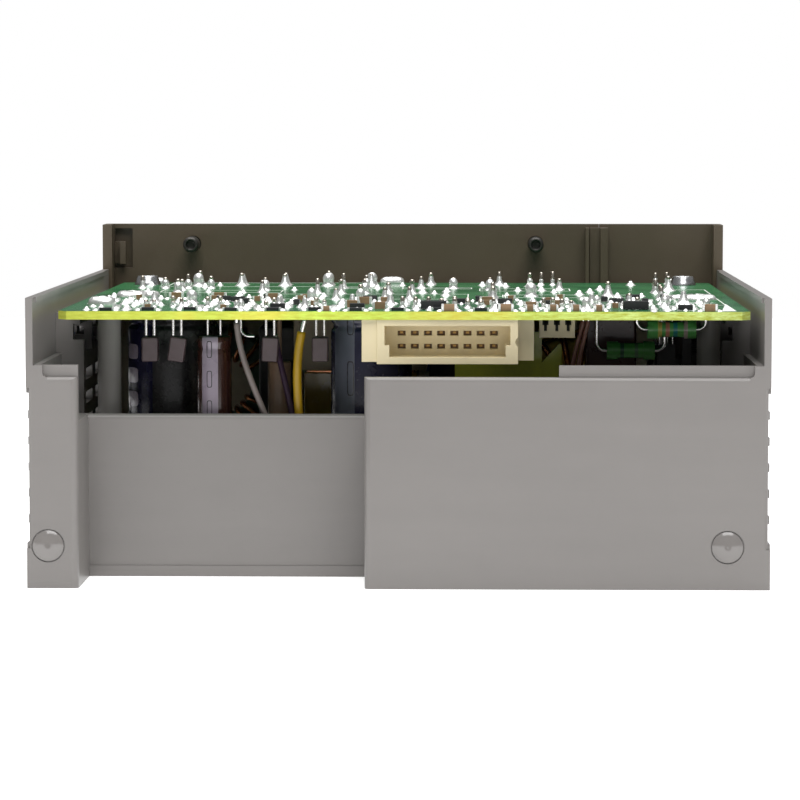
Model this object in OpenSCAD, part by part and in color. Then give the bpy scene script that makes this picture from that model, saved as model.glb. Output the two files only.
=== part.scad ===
// Chassis power supply module, lying on its left side with its open right side up. Millimetres.
// +Z points up through the open side, +X runs from the module's bottom end to its top end, and +Y runs from
// the rear face to the front. The origin is the centre of the bounding box's base. Modules below work in a
// corner frame, from x = 0, y = 0 at the rear left corner, and place() moves them to the origin.

/* [Module] */
// Height of the module in its chassis, from end to end
module_len = 140; // [138:1:142]
// Depth from the rear face to the front of the bezel
module_depth = 145; // [144:1:147]
// Width of the front bezel
bezel_w = 65; // [64:0.5:68]

/* [Housing] */
// Height of the side walls
wall_top = 54.9; // [54.5:0.1:55.5]
// Height of the thick lower part of the walls
ledge_z = 42.2; // [41.8:0.1:42.4]
// Height of the rear wall's outer skin
rear_lip_z = 40; // [39:0.1:40.2]
// Thickness of the floor and the lower walls
wall = 2.1; // [1.9:0.1:2.3]
// Thickness of the upper walls
upper_wall = 1.35; // [1.2:0.05:1.5]
// How far the end ribs stand out
rib_out = 0.45; // [0.3:0.05:0.5]
// Depth of the rear pocket
pocket_depth = 18.6; // [17:0.1:19]
// Height of the pocket's back panel
pocket_top = 31.6; // [29:0.2:32]

/* [Circuit board] */
// Thickness of the main board
board_t = 1.6; // [1.5:0.1:1.7]
// Height of the main board's lower face
board_z = 50.2; // [50:0.1:50.4]
// Size of the main board along the module's height
board_w = 132.4; // [131:0.2:133]

/* [Rear connector] */
// Pitch of the contacts
pitch = 2.54; // [2.54]
// Contacts in each of the two rows
contact_cols = 8; // [8]

/* [Front] */
// Width of the terminal door's opening
door_opening_w = 98; // [97:0.5:98]
// Height of the terminal door's opening
door_opening_h = 48; // [46:0.5:48.5]
// Diameter of the captive screws
screw_d = 3.5; // [3.5]
// Diameter of the door's hinge pin
pin_d = 1.6; // [1.6]

/* [Hidden] */

eps = 0.01;
gap = 0.1;
$fn = 48;

// Housing
pocket_x0 = 9.7;
pocket_x1 = 63.7;
lower_x0 = rib_out;
lower_x1 = module_len - rib_out;
inner_x0 = rib_out + wall;
inner_x1 = module_len - inner_x0;
bottom_rib_h = 8.6;
rib_h = 1.5;
rib_pitch = 4.94;
rib_z0 = 12.2;
rib_count = 6;
rib_y0 = 3;
rib_y1 = 122;
lip_y1 = 124.6;
corner_r = 1.3;
lip_r = 0.8;
rabbet_x = 3.1;
rabbet_y0 = 1.2;
rabbet_y1 = 2.6;

// Front
rim_y = module_depth - 9.5;
panel_y = module_depth - 2.5;
return_t = 2.1;
base_strip = 1.5;
door_x0 = 5.8;
door_x1 = door_x0 + door_opening_w;
door_z1 = base_strip + door_opening_h;
split_x = 112.3;
hinge_y = panel_y + 0.7;
hinge_z = base_strip + 2.2;
knuckle_d = 3.2;
screw_z = bezel_w - 4.5;
tongue_z = [28, 38.5];
tongue_h = 9;
lower_screw_x = 19.95;
upper_screw_x = 97.9;
head_d = 7;
head_h = 1.5;
neck_d = 2.6;
thread_l = 5.2;

// Circuit board
board_x0 = 4.6;
board_x1 = board_x0 + board_w;
board_y0 = 12;
board_y1 = module_depth - 6.2;
board_top = board_z + board_t;
board_screw_x = [11, 130.5];
board_screw_y = 127;
bay_y = 117;

// Rear connector
conn_x0 = 65.7;
conn_w = 27;
conn_z0 = 41.7;
conn_y0 = 12.5;
conn_d = 12.5;
mouth_depth = 6.4;
first_contact_x = conn_x0 + conn_w / 2 - (contact_cols - 1) * pitch / 2;
low_row_z = 44.75;

module place() {
    translate([-module_len / 2, -(module_depth - dome_h) / 2, 0]) children();
}

// Box between two opposite corners
module block(a, b) {
    translate(a) cube(b - a);
}

module rod_x(x0, x1, y, z, d) {
    translate([x0, y, z]) rotate([0, 90, 0]) cylinder(h = x1 - x0, d = d);
}

module rod_y(y0, y1, x, z, d) {
    translate([x, y0, z]) rotate([-90, 0, 0]) cylinder(h = y1 - y0, d = d);
}

module rod_z(z0, z1, x, y, d) {
    translate([x, y, z0]) cylinder(h = z1 - z0, d = d);
}

// What is cut from a box's upright corner at [x, y] to round it. The box lies towards [sx, sy] from it.
module round_upright(x, y, sx, sy, z0, z1, r) {
    translate([x, y, z0 - 1]) difference() {
        translate([sx > 0 ? -1 : -r, sy > 0 ? -1 : -r, 0]) cube([r + 1, r + 1, z1 - z0 + 2]);
        translate([sx * r, sy * r, -1]) cylinder(h = z1 - z0 + 4, r = r);
    }
}

// What is cut from a box's top edge along X at height z. The box lies towards sy from y.
module round_top_x(x0, x1, y, sy, z, r) {
    translate([x0 - 1, y, z]) difference() {
        translate([0, sy > 0 ? -1 : -r, -r]) cube([x1 - x0 + 2, r + 1, r + 1]);
        translate([-1, sy * r, -r]) rotate([0, 90, 0]) cylinder(h = x1 - x0 + 4, r = r);
    }
}

// ---- Housing ----

module tray_floor() {
    block([lower_x0, 0, 0], [pocket_x0, rim_y, wall]);
    block([pocket_x0 - 1, pocket_depth - 0.2, 0], [pocket_x1 + 1, rim_y, wall]);
    block([pocket_x1, 0, 0], [lower_x1, rim_y, wall]);
}

module rear_wall() {
    block([lower_x0, 0, 0], [pocket_x0, wall, rear_lip_z]);
    block([lower_x0, rabbet_y0, 0], [pocket_x0, rabbet_y1, ledge_z]);
    block([pocket_x0 - wall, 0, 0], [pocket_x0, pocket_depth + wall, pocket_top]);
    block([pocket_x0 - 1, pocket_depth, 0], [pocket_x1 + 1, pocket_depth + wall, pocket_top]);
    block([pocket_x1, 0, 0], [pocket_x1 + wall, pocket_depth + wall, pocket_top]);
    block([pocket_x1, 0, 0], [lower_x1, wall, rear_lip_z]);
    block([100.3, rabbet_y0, rear_lip_z - 3], [lower_x1 - 2.4, rabbet_y1, ledge_z]);
    for (side = [0, 1]) mirror_end(side) {
        block([0, 0, rear_lip_z - 3], [rabbet_x, rabbet_y1, ledge_z]);
        rabbet_fillet();
    }
}

// Rounds the inner corner where the step along the rear wall's top meets the end wall
module rabbet_fillet() {
    difference() {
        block([rabbet_x - eps, 0, rear_lip_z - lip_r],
            [rabbet_x + lip_r, rabbet_y0 + eps, rear_lip_z + lip_r]);
        rod_y(-1, rabbet_y0 + 1, rabbet_x + lip_r, rear_lip_z + lip_r, 2 * lip_r);
    }
}

module end_walls() {
    for (side = [0, 1]) mirror_end(side) {
        block([lower_x0, 0, 0], [inner_x0, rim_y, ledge_z]);
        block([0, 0, ledge_z - 2.4], [upper_wall, rim_y, wall_top]);
        block([0, 0, ledge_z - 2.4], [inner_x0, rim_y, ledge_z]);
        block([0, 0, 0], [inner_x0, rib_y1, bottom_rib_h]);
        block([0, rib_y1, 0], [inner_x0, rim_y, bottom_rib_h]);
        for (i = [0 : rib_count - 1]) {
            z = rib_z0 + i * rib_pitch;
            block([0, rib_y0, z], [inner_x0, rib_y1, z + rib_h]);
        }
        block([0, rib_y0, wall_top - 0.9], [upper_wall + 0.35, lip_y1, wall_top]);
    }
}

// Draws its children at the bottom end, or mirrored at the top end
module mirror_end(side) {
    if (side == 0) children();
    else translate([module_len, 0, 0]) mirror([1, 0, 0]) children();
}

module board_rails() {
    for (side = [0, 1]) mirror_end(side) {
        block([eps, 36, board_z - 2.2], [6.2, rim_y - 6, board_z]);
        block([1, 36, 26], [6.9, 38.6, 44.9]);
        block([1, 36, 44], [4.8, 38.6, board_z - 1]);
        for (y = [66, 96, 124]) block([1, y, ledge_z - 1], [5.2, y + 1.6, board_z - 1]);
    }
}

module support_posts() {
    rod_z(1, board_z, 12.7, 29.5, 4.6);
    rod_z(1, board_z, 130.1, 30.1, 4.6);
    for (x = board_screw_x) {
        difference() {
            rod_z(1, board_z, x, board_screw_y, 6);
            rod_z(board_z - 9, board_z + 1, x, board_screw_y, 2.6);
        }
    }
}

// Slots through an end wall, between its ribs
module vent_slots() {
    slot_l = 12;
    for (side = [0, 1]) mirror_end(side) for (col = [0 : 4]) {
        y = 24 + col * 18;
        for (row = [0 : 4]) {
            z = rib_z0 + rib_h + 0.5 + row * rib_pitch;
            block([-1, y, z], [inner_x0 + 1, y + slot_l, z + 2.4]);
        }
        if (col > 1) block([-1, y, ledge_z + 2], [inner_x0 + 1, y + slot_l, ledge_z + 3.8]);
    }
}

// Way out for the field wiring, through the bottom end wall below the terminals
module wire_exit() {
    block([-1, 124, 10], [inner_x0 + 1, 134, 26]);
}

module housing_tray() {
    color("#96938f") place() difference() {
        union() {
            tray_floor();
            rear_wall();
            end_walls();
            board_rails();
            support_posts();
        }
        round_upright(pocket_x0, 0, -1, 1, 0, bezel_w, corner_r);
        round_upright(pocket_x1, 0, 1, 1, 0, bezel_w, corner_r);
        round_upright(lower_x0, 0, 1, 1, bottom_rib_h, rear_lip_z - 3, 0.6);
        round_upright(lower_x1, 0, -1, 1, bottom_rib_h, rear_lip_z - 3, 0.6);
        round_top_x(rabbet_x + lip_r + 1, pocket_x0, 0, 1, rear_lip_z, lip_r);
        round_top_x(pocket_x1, module_len - rabbet_x - lip_r - 1, 0, 1, rear_lip_z, lip_r);
        round_top_x(pocket_x0, pocket_x1, pocket_depth, 1, pocket_top, 0.95);
        round_top_x(pocket_x0, pocket_x1, pocket_depth + wall, -1, pocket_top, 0.95);
        for (x = plug_x) {
            rod_y(-1, wall + 1, x, plug_z, plug_shank_d);
            rod_y(-1, groove_t, x, plug_z, plug_d + 0.4);
        }
        vent_slots();
        wire_exit();
    }
}

plug_x = [4, 132];
plug_z = 8.1;
plug_d = 5.9;
plug_shank_d = 3;
dome_h = 0.75;
groove_t = 0.35;

// A domed cap whose rim stays behind the wall's rear face
module rear_plugs() {
    dome_r = 6.5;
    color("#8f8c88") place() for (x = plug_x) translate([x, 0, plug_z]) rotate([90, 0, 0]) {
        intersection() {
            translate([0, 0, dome_h - dome_r]) sphere(r = dome_r, $fn = 64);
            translate([0, 0, -groove_t]) cylinder(h = dome_h + 1, d = plug_d);
        }
        translate([0, 0, -wall - 0.4]) cylinder(h = wall + 0.4 + eps, d = plug_shank_d);
    }
}

// ---- Front ----

module front_bezel() {
    color("#4a4741") place() difference() {
        union() {
            block([0, panel_y, 0], [split_x, module_depth, bezel_w]);
            block([0, rim_y + gap, 0], [return_t, panel_y + eps, bezel_w]);
            block([0, rim_y + gap, 0], [split_x, panel_y + eps, base_strip]);
            block([split_x - 3.1, panel_y - 3.5, base_strip - eps],
                [split_x - 2.3, panel_y + eps, bezel_w - 0.8]);
            block([3.5 - eps, panel_y - 3, 56], [4.8, module_depth - 0.6, 61]);
            for (x = [door_x0 - 2.2, door_x1 + 0.4]) hinge_ear(x);
            for (z = tongue_z)
                block([inner_x0 + gap, rim_y - 8, z], [inner_x0 + 1.5, panel_y + eps, z + tongue_h]);
        }
        block([door_x0, panel_y - 1, base_strip], [door_x1, module_depth + 1, door_z1]);
        rod_x(door_x0 - 3, door_x1 + 3, hinge_y, hinge_z, pin_d);
        for (x = [lower_screw_x, upper_screw_x]) screw_seat(x);
        rod_y(module_depth - 1.2, module_depth + 1, (door_x0 + door_x1) / 2, door_z1 + 1, 14);
        round_upright(0, module_depth, 1, -1, 0, bezel_w, 1.2);
        snap_window();
    }
}

// Recess behind the lower end of the bezel, round a short tongue
module snap_window() {
    difference() {
        block([return_t, panel_y - 1, 55], [6.1, module_depth - 0.7, 64]);
        block([return_t - 1, panel_y - 2, 56], [4.4, module_depth, 61]);
    }
}

module hinge_ear(x) {
    block([x, panel_y - 2, 0.5], [x + 1.8, panel_y + 0.5, hinge_z + 2.4]);
}

// Clearance hole and sunk seat of a captive screw
module screw_seat(x) {
    rod_y(panel_y - 1, module_depth + 1, x, screw_z, screw_d + 0.1);
    rod_y(module_depth - head_h - 0.05, module_depth + 1, x, screw_z, head_d + 0.6);
}

module upper_front_panel() {
    color("#4a4741") place() difference() {
        union() {
            block([split_x + gap, panel_y, 0], [module_len, module_depth, bezel_w]);
            block([module_len - return_t, rim_y + gap, 0], [module_len, panel_y + eps, bezel_w]);
            block([split_x + gap, rim_y + gap, 0], [module_len, panel_y + eps, base_strip]);
            block([split_x + 0.3, panel_y - 2.6, base_strip - eps],
                [split_x + 2, panel_y + eps, bezel_w - 0.8]);
            block([split_x - 2.1, panel_y - 1.1, base_strip + gap],
                [split_x + 1, panel_y - gap, bezel_w - 0.8]);
            for (z = tongue_z)
                block([inner_x1 - 1.5, rim_y - 8, z], [inner_x1 - gap, panel_y + eps, z + tongue_h]);
        }
        block([led_x - 2.6, panel_y - 1, led_z - 1.6], [led_x + 2.6, module_depth + 1, led_z + 1.6]);
        round_upright(module_len, module_depth, -1, -1, 0, bezel_w, 1.2);
        for (i = [0 : 5]) block([118, module_depth - 0.8, 8 + i * 4], [134, module_depth + 1, 9.6 + i * 4]);
    }
}

led_x = 126;
led_z = 46;

module captive_screw(x) {
    cross_w = 1;
    cross_l = 4;
    tip_y = panel_y - 7;
    color("#3c3a37") place() difference() {
        union() {
            rod_y(tip_y, tip_y + thread_l, x, screw_z, screw_d);
            rod_y(tip_y, module_depth - head_h + eps, x, screw_z, neck_d);
            translate([x, tip_y, screw_z]) rotate([90, 0, 0]) cylinder(h = 0.5, d1 = screw_d, d2 = 2.9);
            rod_y(module_depth - head_h, module_depth, x, screw_z, head_d);
        }
        rod_y(tip_y - 1, tip_y + 1, x, screw_z, 2);
        for (a = [0, 90]) translate([x, module_depth, screw_z]) rotate([0, a, 0])
            cube([cross_l, 2 * 0.9, cross_w], center = true);
    }
}

module captive_screw_lower() {
    captive_screw(lower_screw_x);
}

module captive_screw_upper() {
    captive_screw(upper_screw_x);
}

module terminal_door() {
    side_gap = 0.35;
    x0 = door_x0 + side_gap;
    x1 = door_x1 - side_gap;
    z1 = door_z1 - side_gap;
    plate_y = module_depth - 2;
    mid = (x0 + x1) / 2;
    color("#423f3a") place() difference() {
        union() {
            block([x0, plate_y, hinge_z], [x1, module_depth, z1]);
            rod_x(x0, x1, hinge_y, hinge_z, knuckle_d);
            for (x = [x0 + 2, x1 - 3.2])
                block([x, plate_y - 2, hinge_z + 4], [x + 1.2, plate_y + eps, z1 - 3]);
            block([x0 + 2, plate_y - 2, z1 - 4.2], [x1 - 2, plate_y + eps, z1 - 3]);
            block([mid - 6, plate_y - 4.5, z1 - 1.4], [mid + 6, plate_y + eps, z1 - 0.2]);
        }
        rod_x(x0 - 1, x1 + 1, hinge_y, hinge_z, pin_d + 0.1);
        for (z = [z1 - 6, z1 - 9, z1 - 12])
            block([mid - 14, module_depth - 0.6, z], [mid + 14, module_depth + 1, z + 1.2]);
        block([x0 - 1, hinge_y + knuckle_d / 2 + 0.3, hinge_z - 5],
            [x1 + 1, module_depth + 1, hinge_z + eps]);
    }
}

// Blank card on the door's inner face
module door_label() {
    color("#d9d6cc") place()
        block([door_x0 + 12, module_depth - 2.3, 14], [door_x1 - 12, module_depth - 2, 44]);
}

module door_hinge_pin() {
    color("#a9abad") place() rod_x(door_x0 - 2.2, door_x1 + 2.2, hinge_y, hinge_z, pin_d);
}

module power_led() {
    color("#b9d9b0") place() {
        rod_y(panel_y - 8, panel_y - 3, led_x, led_z, 3);
        rod_y(panel_y - 8, panel_y - 7, led_x, led_z, 3.8);
        for (x = [led_x - pitch / 2, led_x + pitch / 2]) {
            block([x - 0.25, panel_y - 10, led_z - 0.25], [x + 0.25, panel_y - 8 + eps, led_z + 0.25]);
            block([x - 0.25, panel_y - 10, led_z - 0.25], [x + 0.25, panel_y - 9.5, board_z]);
        }
    }
}

module power_led_lens() {
    color("#cfe6c8") place() {
        block([led_x - 2.5, panel_y, led_z - 1.5], [led_x + 2.5, module_depth, led_z + 1.5]);
        block([led_x - 3.4, panel_y - 1, led_z - 2.4], [led_x + 3.4, panel_y, led_z + 2.4]);
    }
}

// ---- Terminal bay ----

module insulating_barrier() {
    color("#d8d2bd") place() difference() {
        block([inner_x0 + 0.4, bay_y, wall], [inner_x1 - 0.4, bay_y + 0.8, board_z]);
        for (side = [0, 1]) mirror_end(side)
            block([0, bay_y - 1, board_z - 9.5], [6.6, bay_y + 2, board_z + 1]);
    }
}

terminal_count = 5;
terminal_pitch = 9.6;
terminal_x0 = 18;
terminal_y0 = bay_y + 2;
terminal_y1 = terminal_y0 + 12;
terminal_z0 = 26;

function terminal_x(i) = terminal_x0 + (i + 0.5) * terminal_pitch;

module terminal_block() {
    rib_t = 1.4;
    x1 = terminal_x0 + terminal_count * terminal_pitch;
    color("#24231f") place() difference() {
        union() {
            block([terminal_x0 - rib_t / 2, terminal_y0, terminal_z0],
                [x1 + rib_t / 2, terminal_y1, board_z]);
            for (i = [0 : terminal_count]) {
                x = terminal_x0 + i * terminal_pitch;
                block([x - rib_t / 2, terminal_y0, terminal_z0 - 2],
                    [x + rib_t / 2, terminal_y1 + 6.4, board_z - 3]);
            }
        }
        for (i = [0 : terminal_count - 1]) rod_y(terminal_y1 - 6, terminal_y1 + 1, terminal_x(i), 37, 3.5);
    }
}

module terminal_clamps() {
    color("#c9c3a8") place() for (i = [0 : terminal_count - 1]) difference() {
        translate([terminal_x(i), 0, 37]) {
            block([-3.6, terminal_y1, -4], [3.6, terminal_y1 + 1, 4]);
            for (z = [-4, 3.2]) block([-3.6, terminal_y1, z], [3.6, terminal_y1 + 1.8, z + 0.8]);
        }
        rod_y(terminal_y1 - 1, terminal_y1 + 3, terminal_x(i), 37, 3.6);
    }
}

module terminal_screws() {
    color("#b9bcbe") place() for (i = [0 : terminal_count - 1]) difference() {
        union() {
            rod_y(terminal_y1 - 5, terminal_y1 + 1 + eps, terminal_x(i), 37, 3.4);
            rod_y(terminal_y1 + 1, terminal_y1 + 3.4, terminal_x(i), 37, 6.2);
        }
        for (a = [0, 90]) translate([terminal_x(i), terminal_y1 + 3.4, 37]) rotate([0, a, 0])
            cube([4, 2, 0.9], center = true);
    }
}

fuse_x0 = 72;
fuse_len = 20;
fuse_y = 130;
fuse_z = 40;
fuse_d = 5.2;
cap_len = 5;

module fuse_tube() {
    color("#e9eef0") place() difference() {
        rod_x(fuse_x0 + cap_len, fuse_x0 + fuse_len - cap_len, fuse_y, fuse_z, fuse_d - 0.3);
        rod_x(fuse_x0, fuse_x0 + fuse_len, fuse_y, fuse_z, fuse_d - 1.6);
    }
}

module fuse_caps() {
    color("#c4c6c7") place() for (x = [fuse_x0, fuse_x0 + fuse_len - cap_len])
        rod_x(x, x + cap_len, fuse_y, fuse_z, fuse_d);
}

module fuse_clips() {
    t = 0.5;
    color("#bdbbae") place() for (x = [fuse_x0 + 0.6, fuse_x0 + fuse_len - 4.1]) {
        difference() {
            union() {
                rod_x(x, x + 3.5, fuse_y, fuse_z, fuse_d + 2 * t);
                for (y = [fuse_y - fuse_d / 2 - t, fuse_y + fuse_d / 2])
                    block([x, y, fuse_z], [x + 3.5, y + t, board_z]);
                block([x, fuse_y - fuse_d / 2, board_z - 4], [x + 3.5, fuse_y + fuse_d / 2, board_z - 4 + t]);
            }
            rod_x(x - 1, x + 5, fuse_y, fuse_z, fuse_d);
            block([x - 1, fuse_y - 1.9, fuse_z - 6], [x + 5, fuse_y + 1.9, fuse_z]);
        }
    }
}

header_x = 99;
header_z = 40;

module voltage_header() {
    color("#1f1f1d") place()
        block([header_x - 4, bay_y + 8, header_z - 2.6], [header_x + 4, bay_y + 12, board_z]);
}

module voltage_pins() {
    color("#d8b45a") place() for (i = [-1 : 1]) {
        x = header_x + i * pitch;
        block([x - 0.32, bay_y + 12, header_z - 0.32], [x + 0.32, bay_y + 18, header_z + 0.32]);
    }
}

module voltage_jumper() {
    color("#b23a2c") place() difference() {
        block([header_x - pitch - 1.2, bay_y + 12.6, header_z - 1.7],
            [header_x + 1.2, bay_y + 21, header_z + 1.7]);
        for (i = [-1, 0]) {
            x = header_x + i * pitch;
            block([x - 0.4, bay_y + 12, header_z - 0.4], [x + 0.4, bay_y + 19, header_z + 0.4]);
        }
    }
}

// ---- Main board ----

module main_board() {
    color("#2e6b3a") place() difference() {
        block([board_x0, board_y0, board_z], [board_x1, board_y1, board_top]);
        for (x = board_screw_x) rod_z(board_z - 1, board_top + 1, x, board_screw_y, 3.4);
        for (x = [board_x0, board_x1]) translate([x, board_y0, board_z - 1]) rotate(45)
            cube([2.4, 2.4, 6], center = true);
    }
}

module board_screws() {
    color("#c2c4c5") place() for (x = board_screw_x) difference() {
        union() {
            rod_z(board_z - 7, board_top + eps, x, board_screw_y, 2.5);
            translate([x, board_screw_y, board_top]) cylinder(h = 2, d1 = 6, d2 = 4.6);
        }
        for (a = [0, 90]) translate([x, board_screw_y, board_top + 2]) rotate(a)
            cube([3, 0.8, 2], center = true);
    }
}

module bus_connector() {
    x1 = conn_x0 + conn_w;
    y1 = conn_y0 + conn_d;
    color("#d8d3bd") place() difference() {
        union() {
            block([conn_x0, conn_y0, conn_z0], [x1, y1, board_z]);
            block([conn_x0 - 2.9, conn_y0 + 0.4, conn_z0 + 0.4], [conn_x0 + 1, conn_y0 + 3.6, board_z]);
            block([x1 - 1, conn_y0 + 4.6, conn_z0 + 0.4], [x1 + 3.1, conn_y0 + 7.6, board_z]);
        }
        difference() {
            block([conn_x0 + 1.5, conn_y0 - 1, conn_z0 + 1.3],
                [x1 - 1.5, conn_y0 + mouth_depth, board_z - 1.2]);
            for (x = [conn_x0 + 1.4, x1 - 2.4])
                block([x, conn_y0 - 2, conn_z0], [x + 1, conn_y0 + 3, conn_z0 + 3.6]);
        }
        rod_y(0, conn_y0 + 3, x1 + 0.5, conn_z0 + 4.2, 2);
        for (col = [0 : contact_cols - 1]) for (row = [0, 1]) {
            x = first_contact_x + col * pitch;
            z = low_row_z + row * pitch;
            block([x - 0.75, conn_y0, z - 0.45], [x + 0.75, conn_y0 + mouth_depth + 4, z + 0.45]);
        }
    }
}

module bus_contacts() {
    y0 = conn_y0 + mouth_depth;
    y1 = conn_y0 + conn_d;
    color("#b99a55") place() for (col = [0 : contact_cols - 1]) for (row = [0, 1]) {
        x = first_contact_x + col * pitch;
        z = low_row_z + row * pitch;
        tail_y = y1 + 1.2 + (1 - row) * pitch;
        block([x - 0.6, y0 + 1.2, z - 0.4], [x + 0.6, y0 + 3.9, z - 0.15]);
        block([x - 0.3, y1, z - 0.3], [x + 0.3, tail_y, z + 0.3]);
        block([x - 0.3, tail_y - 0.6, z - 0.3], [x + 0.3, tail_y, board_z]);
    }
}

module chip_resistors() {
    color("#1c1c1e") place() {
        for (i = [0 : 9]) translate([12 + i * 8, 14.4 + (i % 3), board_top]) cube([3.2, 1.6, 0.6]);
        for (x = [14, 30, 41.5, 56.5]) translate([x, 22.4, board_top]) cube([1.6, 3.2, 0.6]);
    }
}

module chip_capacitors() {
    color("#8a6a4d") place() for (i = [0 : 7])
        translate([94 + 4.4 * (i % 4), 14 + 3.4 * floor(i / 4), board_top]) cube([2, 1.25, 1.25]);
}

module control_chips() {
    color("#17171a") place() for (x = [113, 74]) translate([x, 19.4, board_top]) {
        block([0, 0, 0.1], [4.9, 3.9, 1.6]);
        for (i = [0 : 3]) block([0.4 + i * 1.27, -1, 0], [0.8 + i * 1.27, 4.9, 0.3]);
    }
}

// ---- Parts under the board ----

// Radial can hanging under the board with its end at height z1, with a rolled neck near its rubber end
module radial_can(x, y, d, len, z1 = board_z) {
    translate([x, y, z1 - len]) {
        cylinder(h = len - 3.2, d = d);
        translate([0, 0, len - 3.2 - eps]) cylinder(h = 1 + 2 * eps, d = d - 0.9);
        translate([0, 0, len - 2.2]) cylinder(h = 2.2, d = d);
    }
}

big_can = [24, 44];
small_can = [63.9, 37];
brown_x = 33.4;
brown_top = 46.2;

module bulk_capacitors() {
    color("#1f2747") place() {
        radial_can(big_can.x, big_can.y, 18, 42);
        radial_can(small_can.x, small_can.y, 16, 40);
    }
}

module brown_capacitor() {
    color("#4a2f22") place() radial_can(brown_x, 28, 6.8, 26, brown_top);
}

module rod_inductor() {
    color("#7a5a3c") place() {
        rod_z(12, 40.8, 45.8, 34.5, 4.6);
        rod_z(40.8 - eps, board_z, 45.8, 34.5, 1);
    }
}

bead_x = [20.9, 26.2, 44.4, 54.2];
bead_tilt = [0, 8, 3, 0];
bead_z = 43.6;

module ferrite_beads() {
    color("#4b3f44") place() for (i = [0 : 3])
        translate([bead_x[i], 27.8, bead_z]) rotate([0, bead_tilt[i], 0])
            cube([3.2, 3.2, 4.8], center = true);
}

// Lead that runs out from x0 along X towards side, bends up on radius r and ends at the board
module bent_lead(x0, side, out, y, z, r, d) {
    mid = x0 + side * (out - r);
    rod_x(min(x0, mid), max(x0, mid), y, z, d);
    translate([mid, y, z + r]) rotate([90, 0, 0]) mirror([side > 0 ? 0 : 1, 0, 0]) rotate(-90)
        rotate_extrude(angle = 90) translate([r, 0]) circle(d = d, $fn = 24);
    rod_z(z + r, board_z, x0 + side * out, y, d);
}

module component_leads() {
    color("#cfd1d2") place() {
        for (x = bead_x) for (s = [-0.8, 0.8]) rod_z(bead_z + 2.65, board_z, x + s, 27.8, 0.6);
        for (s = [-1.25, 1.25]) rod_z(brown_top - eps, board_z, brown_x + s, 28, 0.5);
        bent_lead(41.4, -1, 2.6, 26, 46.2, 1.6, 0.5);
        for (i = [0, 1]) {
            bent_lead(axial_x[i], -1, 2, axial_y[i], axial_z[i], 1.6, 0.7);
            bent_lead(axial_x[i] + axial_len, 1, 2, axial_y[i], axial_z[i], 1.6, 0.7);
        }
        for (y = heat_y) for (i = [-1 : 1])
            block([122.3, y + i * pitch - 0.35, 41 - eps], [122.8, y + i * pitch + 0.35, board_z]);
        for (x = [121, 122.3, 123.6]) rod_z(43.9, board_z, x, 39.2, 0.45);
    }
}

axial_len = 9.4;
axial_x = [118, 110.4];
axial_y = [27, 35];
axial_z = [47.6, 43];

module axial_resistors() {
    color("#4f8f5a") place() for (i = [0, 1]) translate([axial_x[i], axial_y[i], axial_z[i]]) {
        rod_x(0, axial_len, 0, 0, 3);
        for (e = [0, axial_len - 2.2]) rod_x(e, e + 2.2, 0, 0, 3.6);
    }
}

module film_capacitor() {
    color("#5b2620") place() block([106.5, 43, 36], [116.6, 49, board_z]);
}

module suppression_capacitor() {
    color("#c9b23c") place() block([86, 98, 30], [104, 108, board_z]);
}

disc_x = [14, 24];

module disc_capacitors() {
    color("#2f6fa8") place() for (x = disc_x) {
        rod_y(108.5, 112, x, 42, 8.4);
        for (s = [-2.5, 2.5]) rod_z(43, board_z, x + s, 110.2, 0.7);
    }
}

module varistor() {
    color("#2c58a0") place() {
        rod_y(108, 112.2, 76, 40.5, 14);
        for (s = [-3.5, 3.5]) rod_z(42, board_z, 76 + s, 110, 0.9);
    }
}

module thermistor() {
    color("#2a2a2a") place() {
        rod_y(109, 113, 58, 42, 11);
        for (s = [-2.5, 2.5]) rod_z(43, board_z, 58 + s, 111, 0.9);
    }
}

core_x = 40;
core_y = 62;
core_w = 42;
core_d = 20;
core_z0 = 12;
core_z1 = 46;
leg_w = 7;

module transformer_core() {
    window_z0 = core_z0 + leg_w;
    window_z1 = core_z1 - leg_w;
    color("#33322f") place() difference() {
        block([core_x, core_y, core_z0], [core_x + core_w, core_y + core_d, core_z1]);
        for (x = [core_x + leg_w, core_x + core_w / 2 + leg_w])
            block([x, core_y - 1, window_z0], [x + core_w / 2 - 2 * leg_w, core_y + core_d + 1, window_z1]);
    }
}

module transformer_bobbin() {
    c = core_x + core_w / 2;
    color("#b8a888") place() difference() {
        union() {
            for (z = [core_z0 + leg_w + gap, core_z1 - leg_w - 1.4 - gap])
                block([c - 13.6, core_y - 5, z], [c + 13.6, core_y + core_d + 5, z + 1.4]);
            block([c - leg_w - 1.1, core_y - 1.2, core_z0 + leg_w + gap],
                [c + leg_w + 1.1, core_y + core_d + 1.2, core_z1 - leg_w - gap]);
            for (y = [core_y - 5, core_y + core_d + 1.4])
                block([c - 13.6, y, core_z1 - leg_w - 1.4 - gap], [c + 13.6, y + 3.6, board_z - 0.6]);
        }
        block([c - leg_w - gap, core_y - gap, 0], [c + leg_w + gap, core_y + core_d + gap, bezel_w]);
    }
}

// Ring of a given thickness round the centre leg
module leg_wrap(inner, outer, z0, z1) {
    c = core_x + core_w / 2;
    difference() {
        block([c - leg_w - outer, core_y - outer, z0], [c + leg_w + outer, core_y + core_d + outer, z1]);
        block([c - leg_w - inner, core_y - inner, z0 - 1],
            [c + leg_w + inner, core_y + core_d + inner, z1 + 1]);
    }
}

module transformer_winding() {
    color("#9c5a2a") place() leg_wrap(1.3, 3.9, core_z0 + leg_w + 1.7, core_z1 - leg_w - 1.7);
}

module transformer_tape() {
    color("#d8b93a") place() leg_wrap(4, 4.5, core_z0 + leg_w + 2, core_z1 - leg_w - 2);
}

choke_x = 30;
choke_y = 95;
choke_z = 32;

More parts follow.
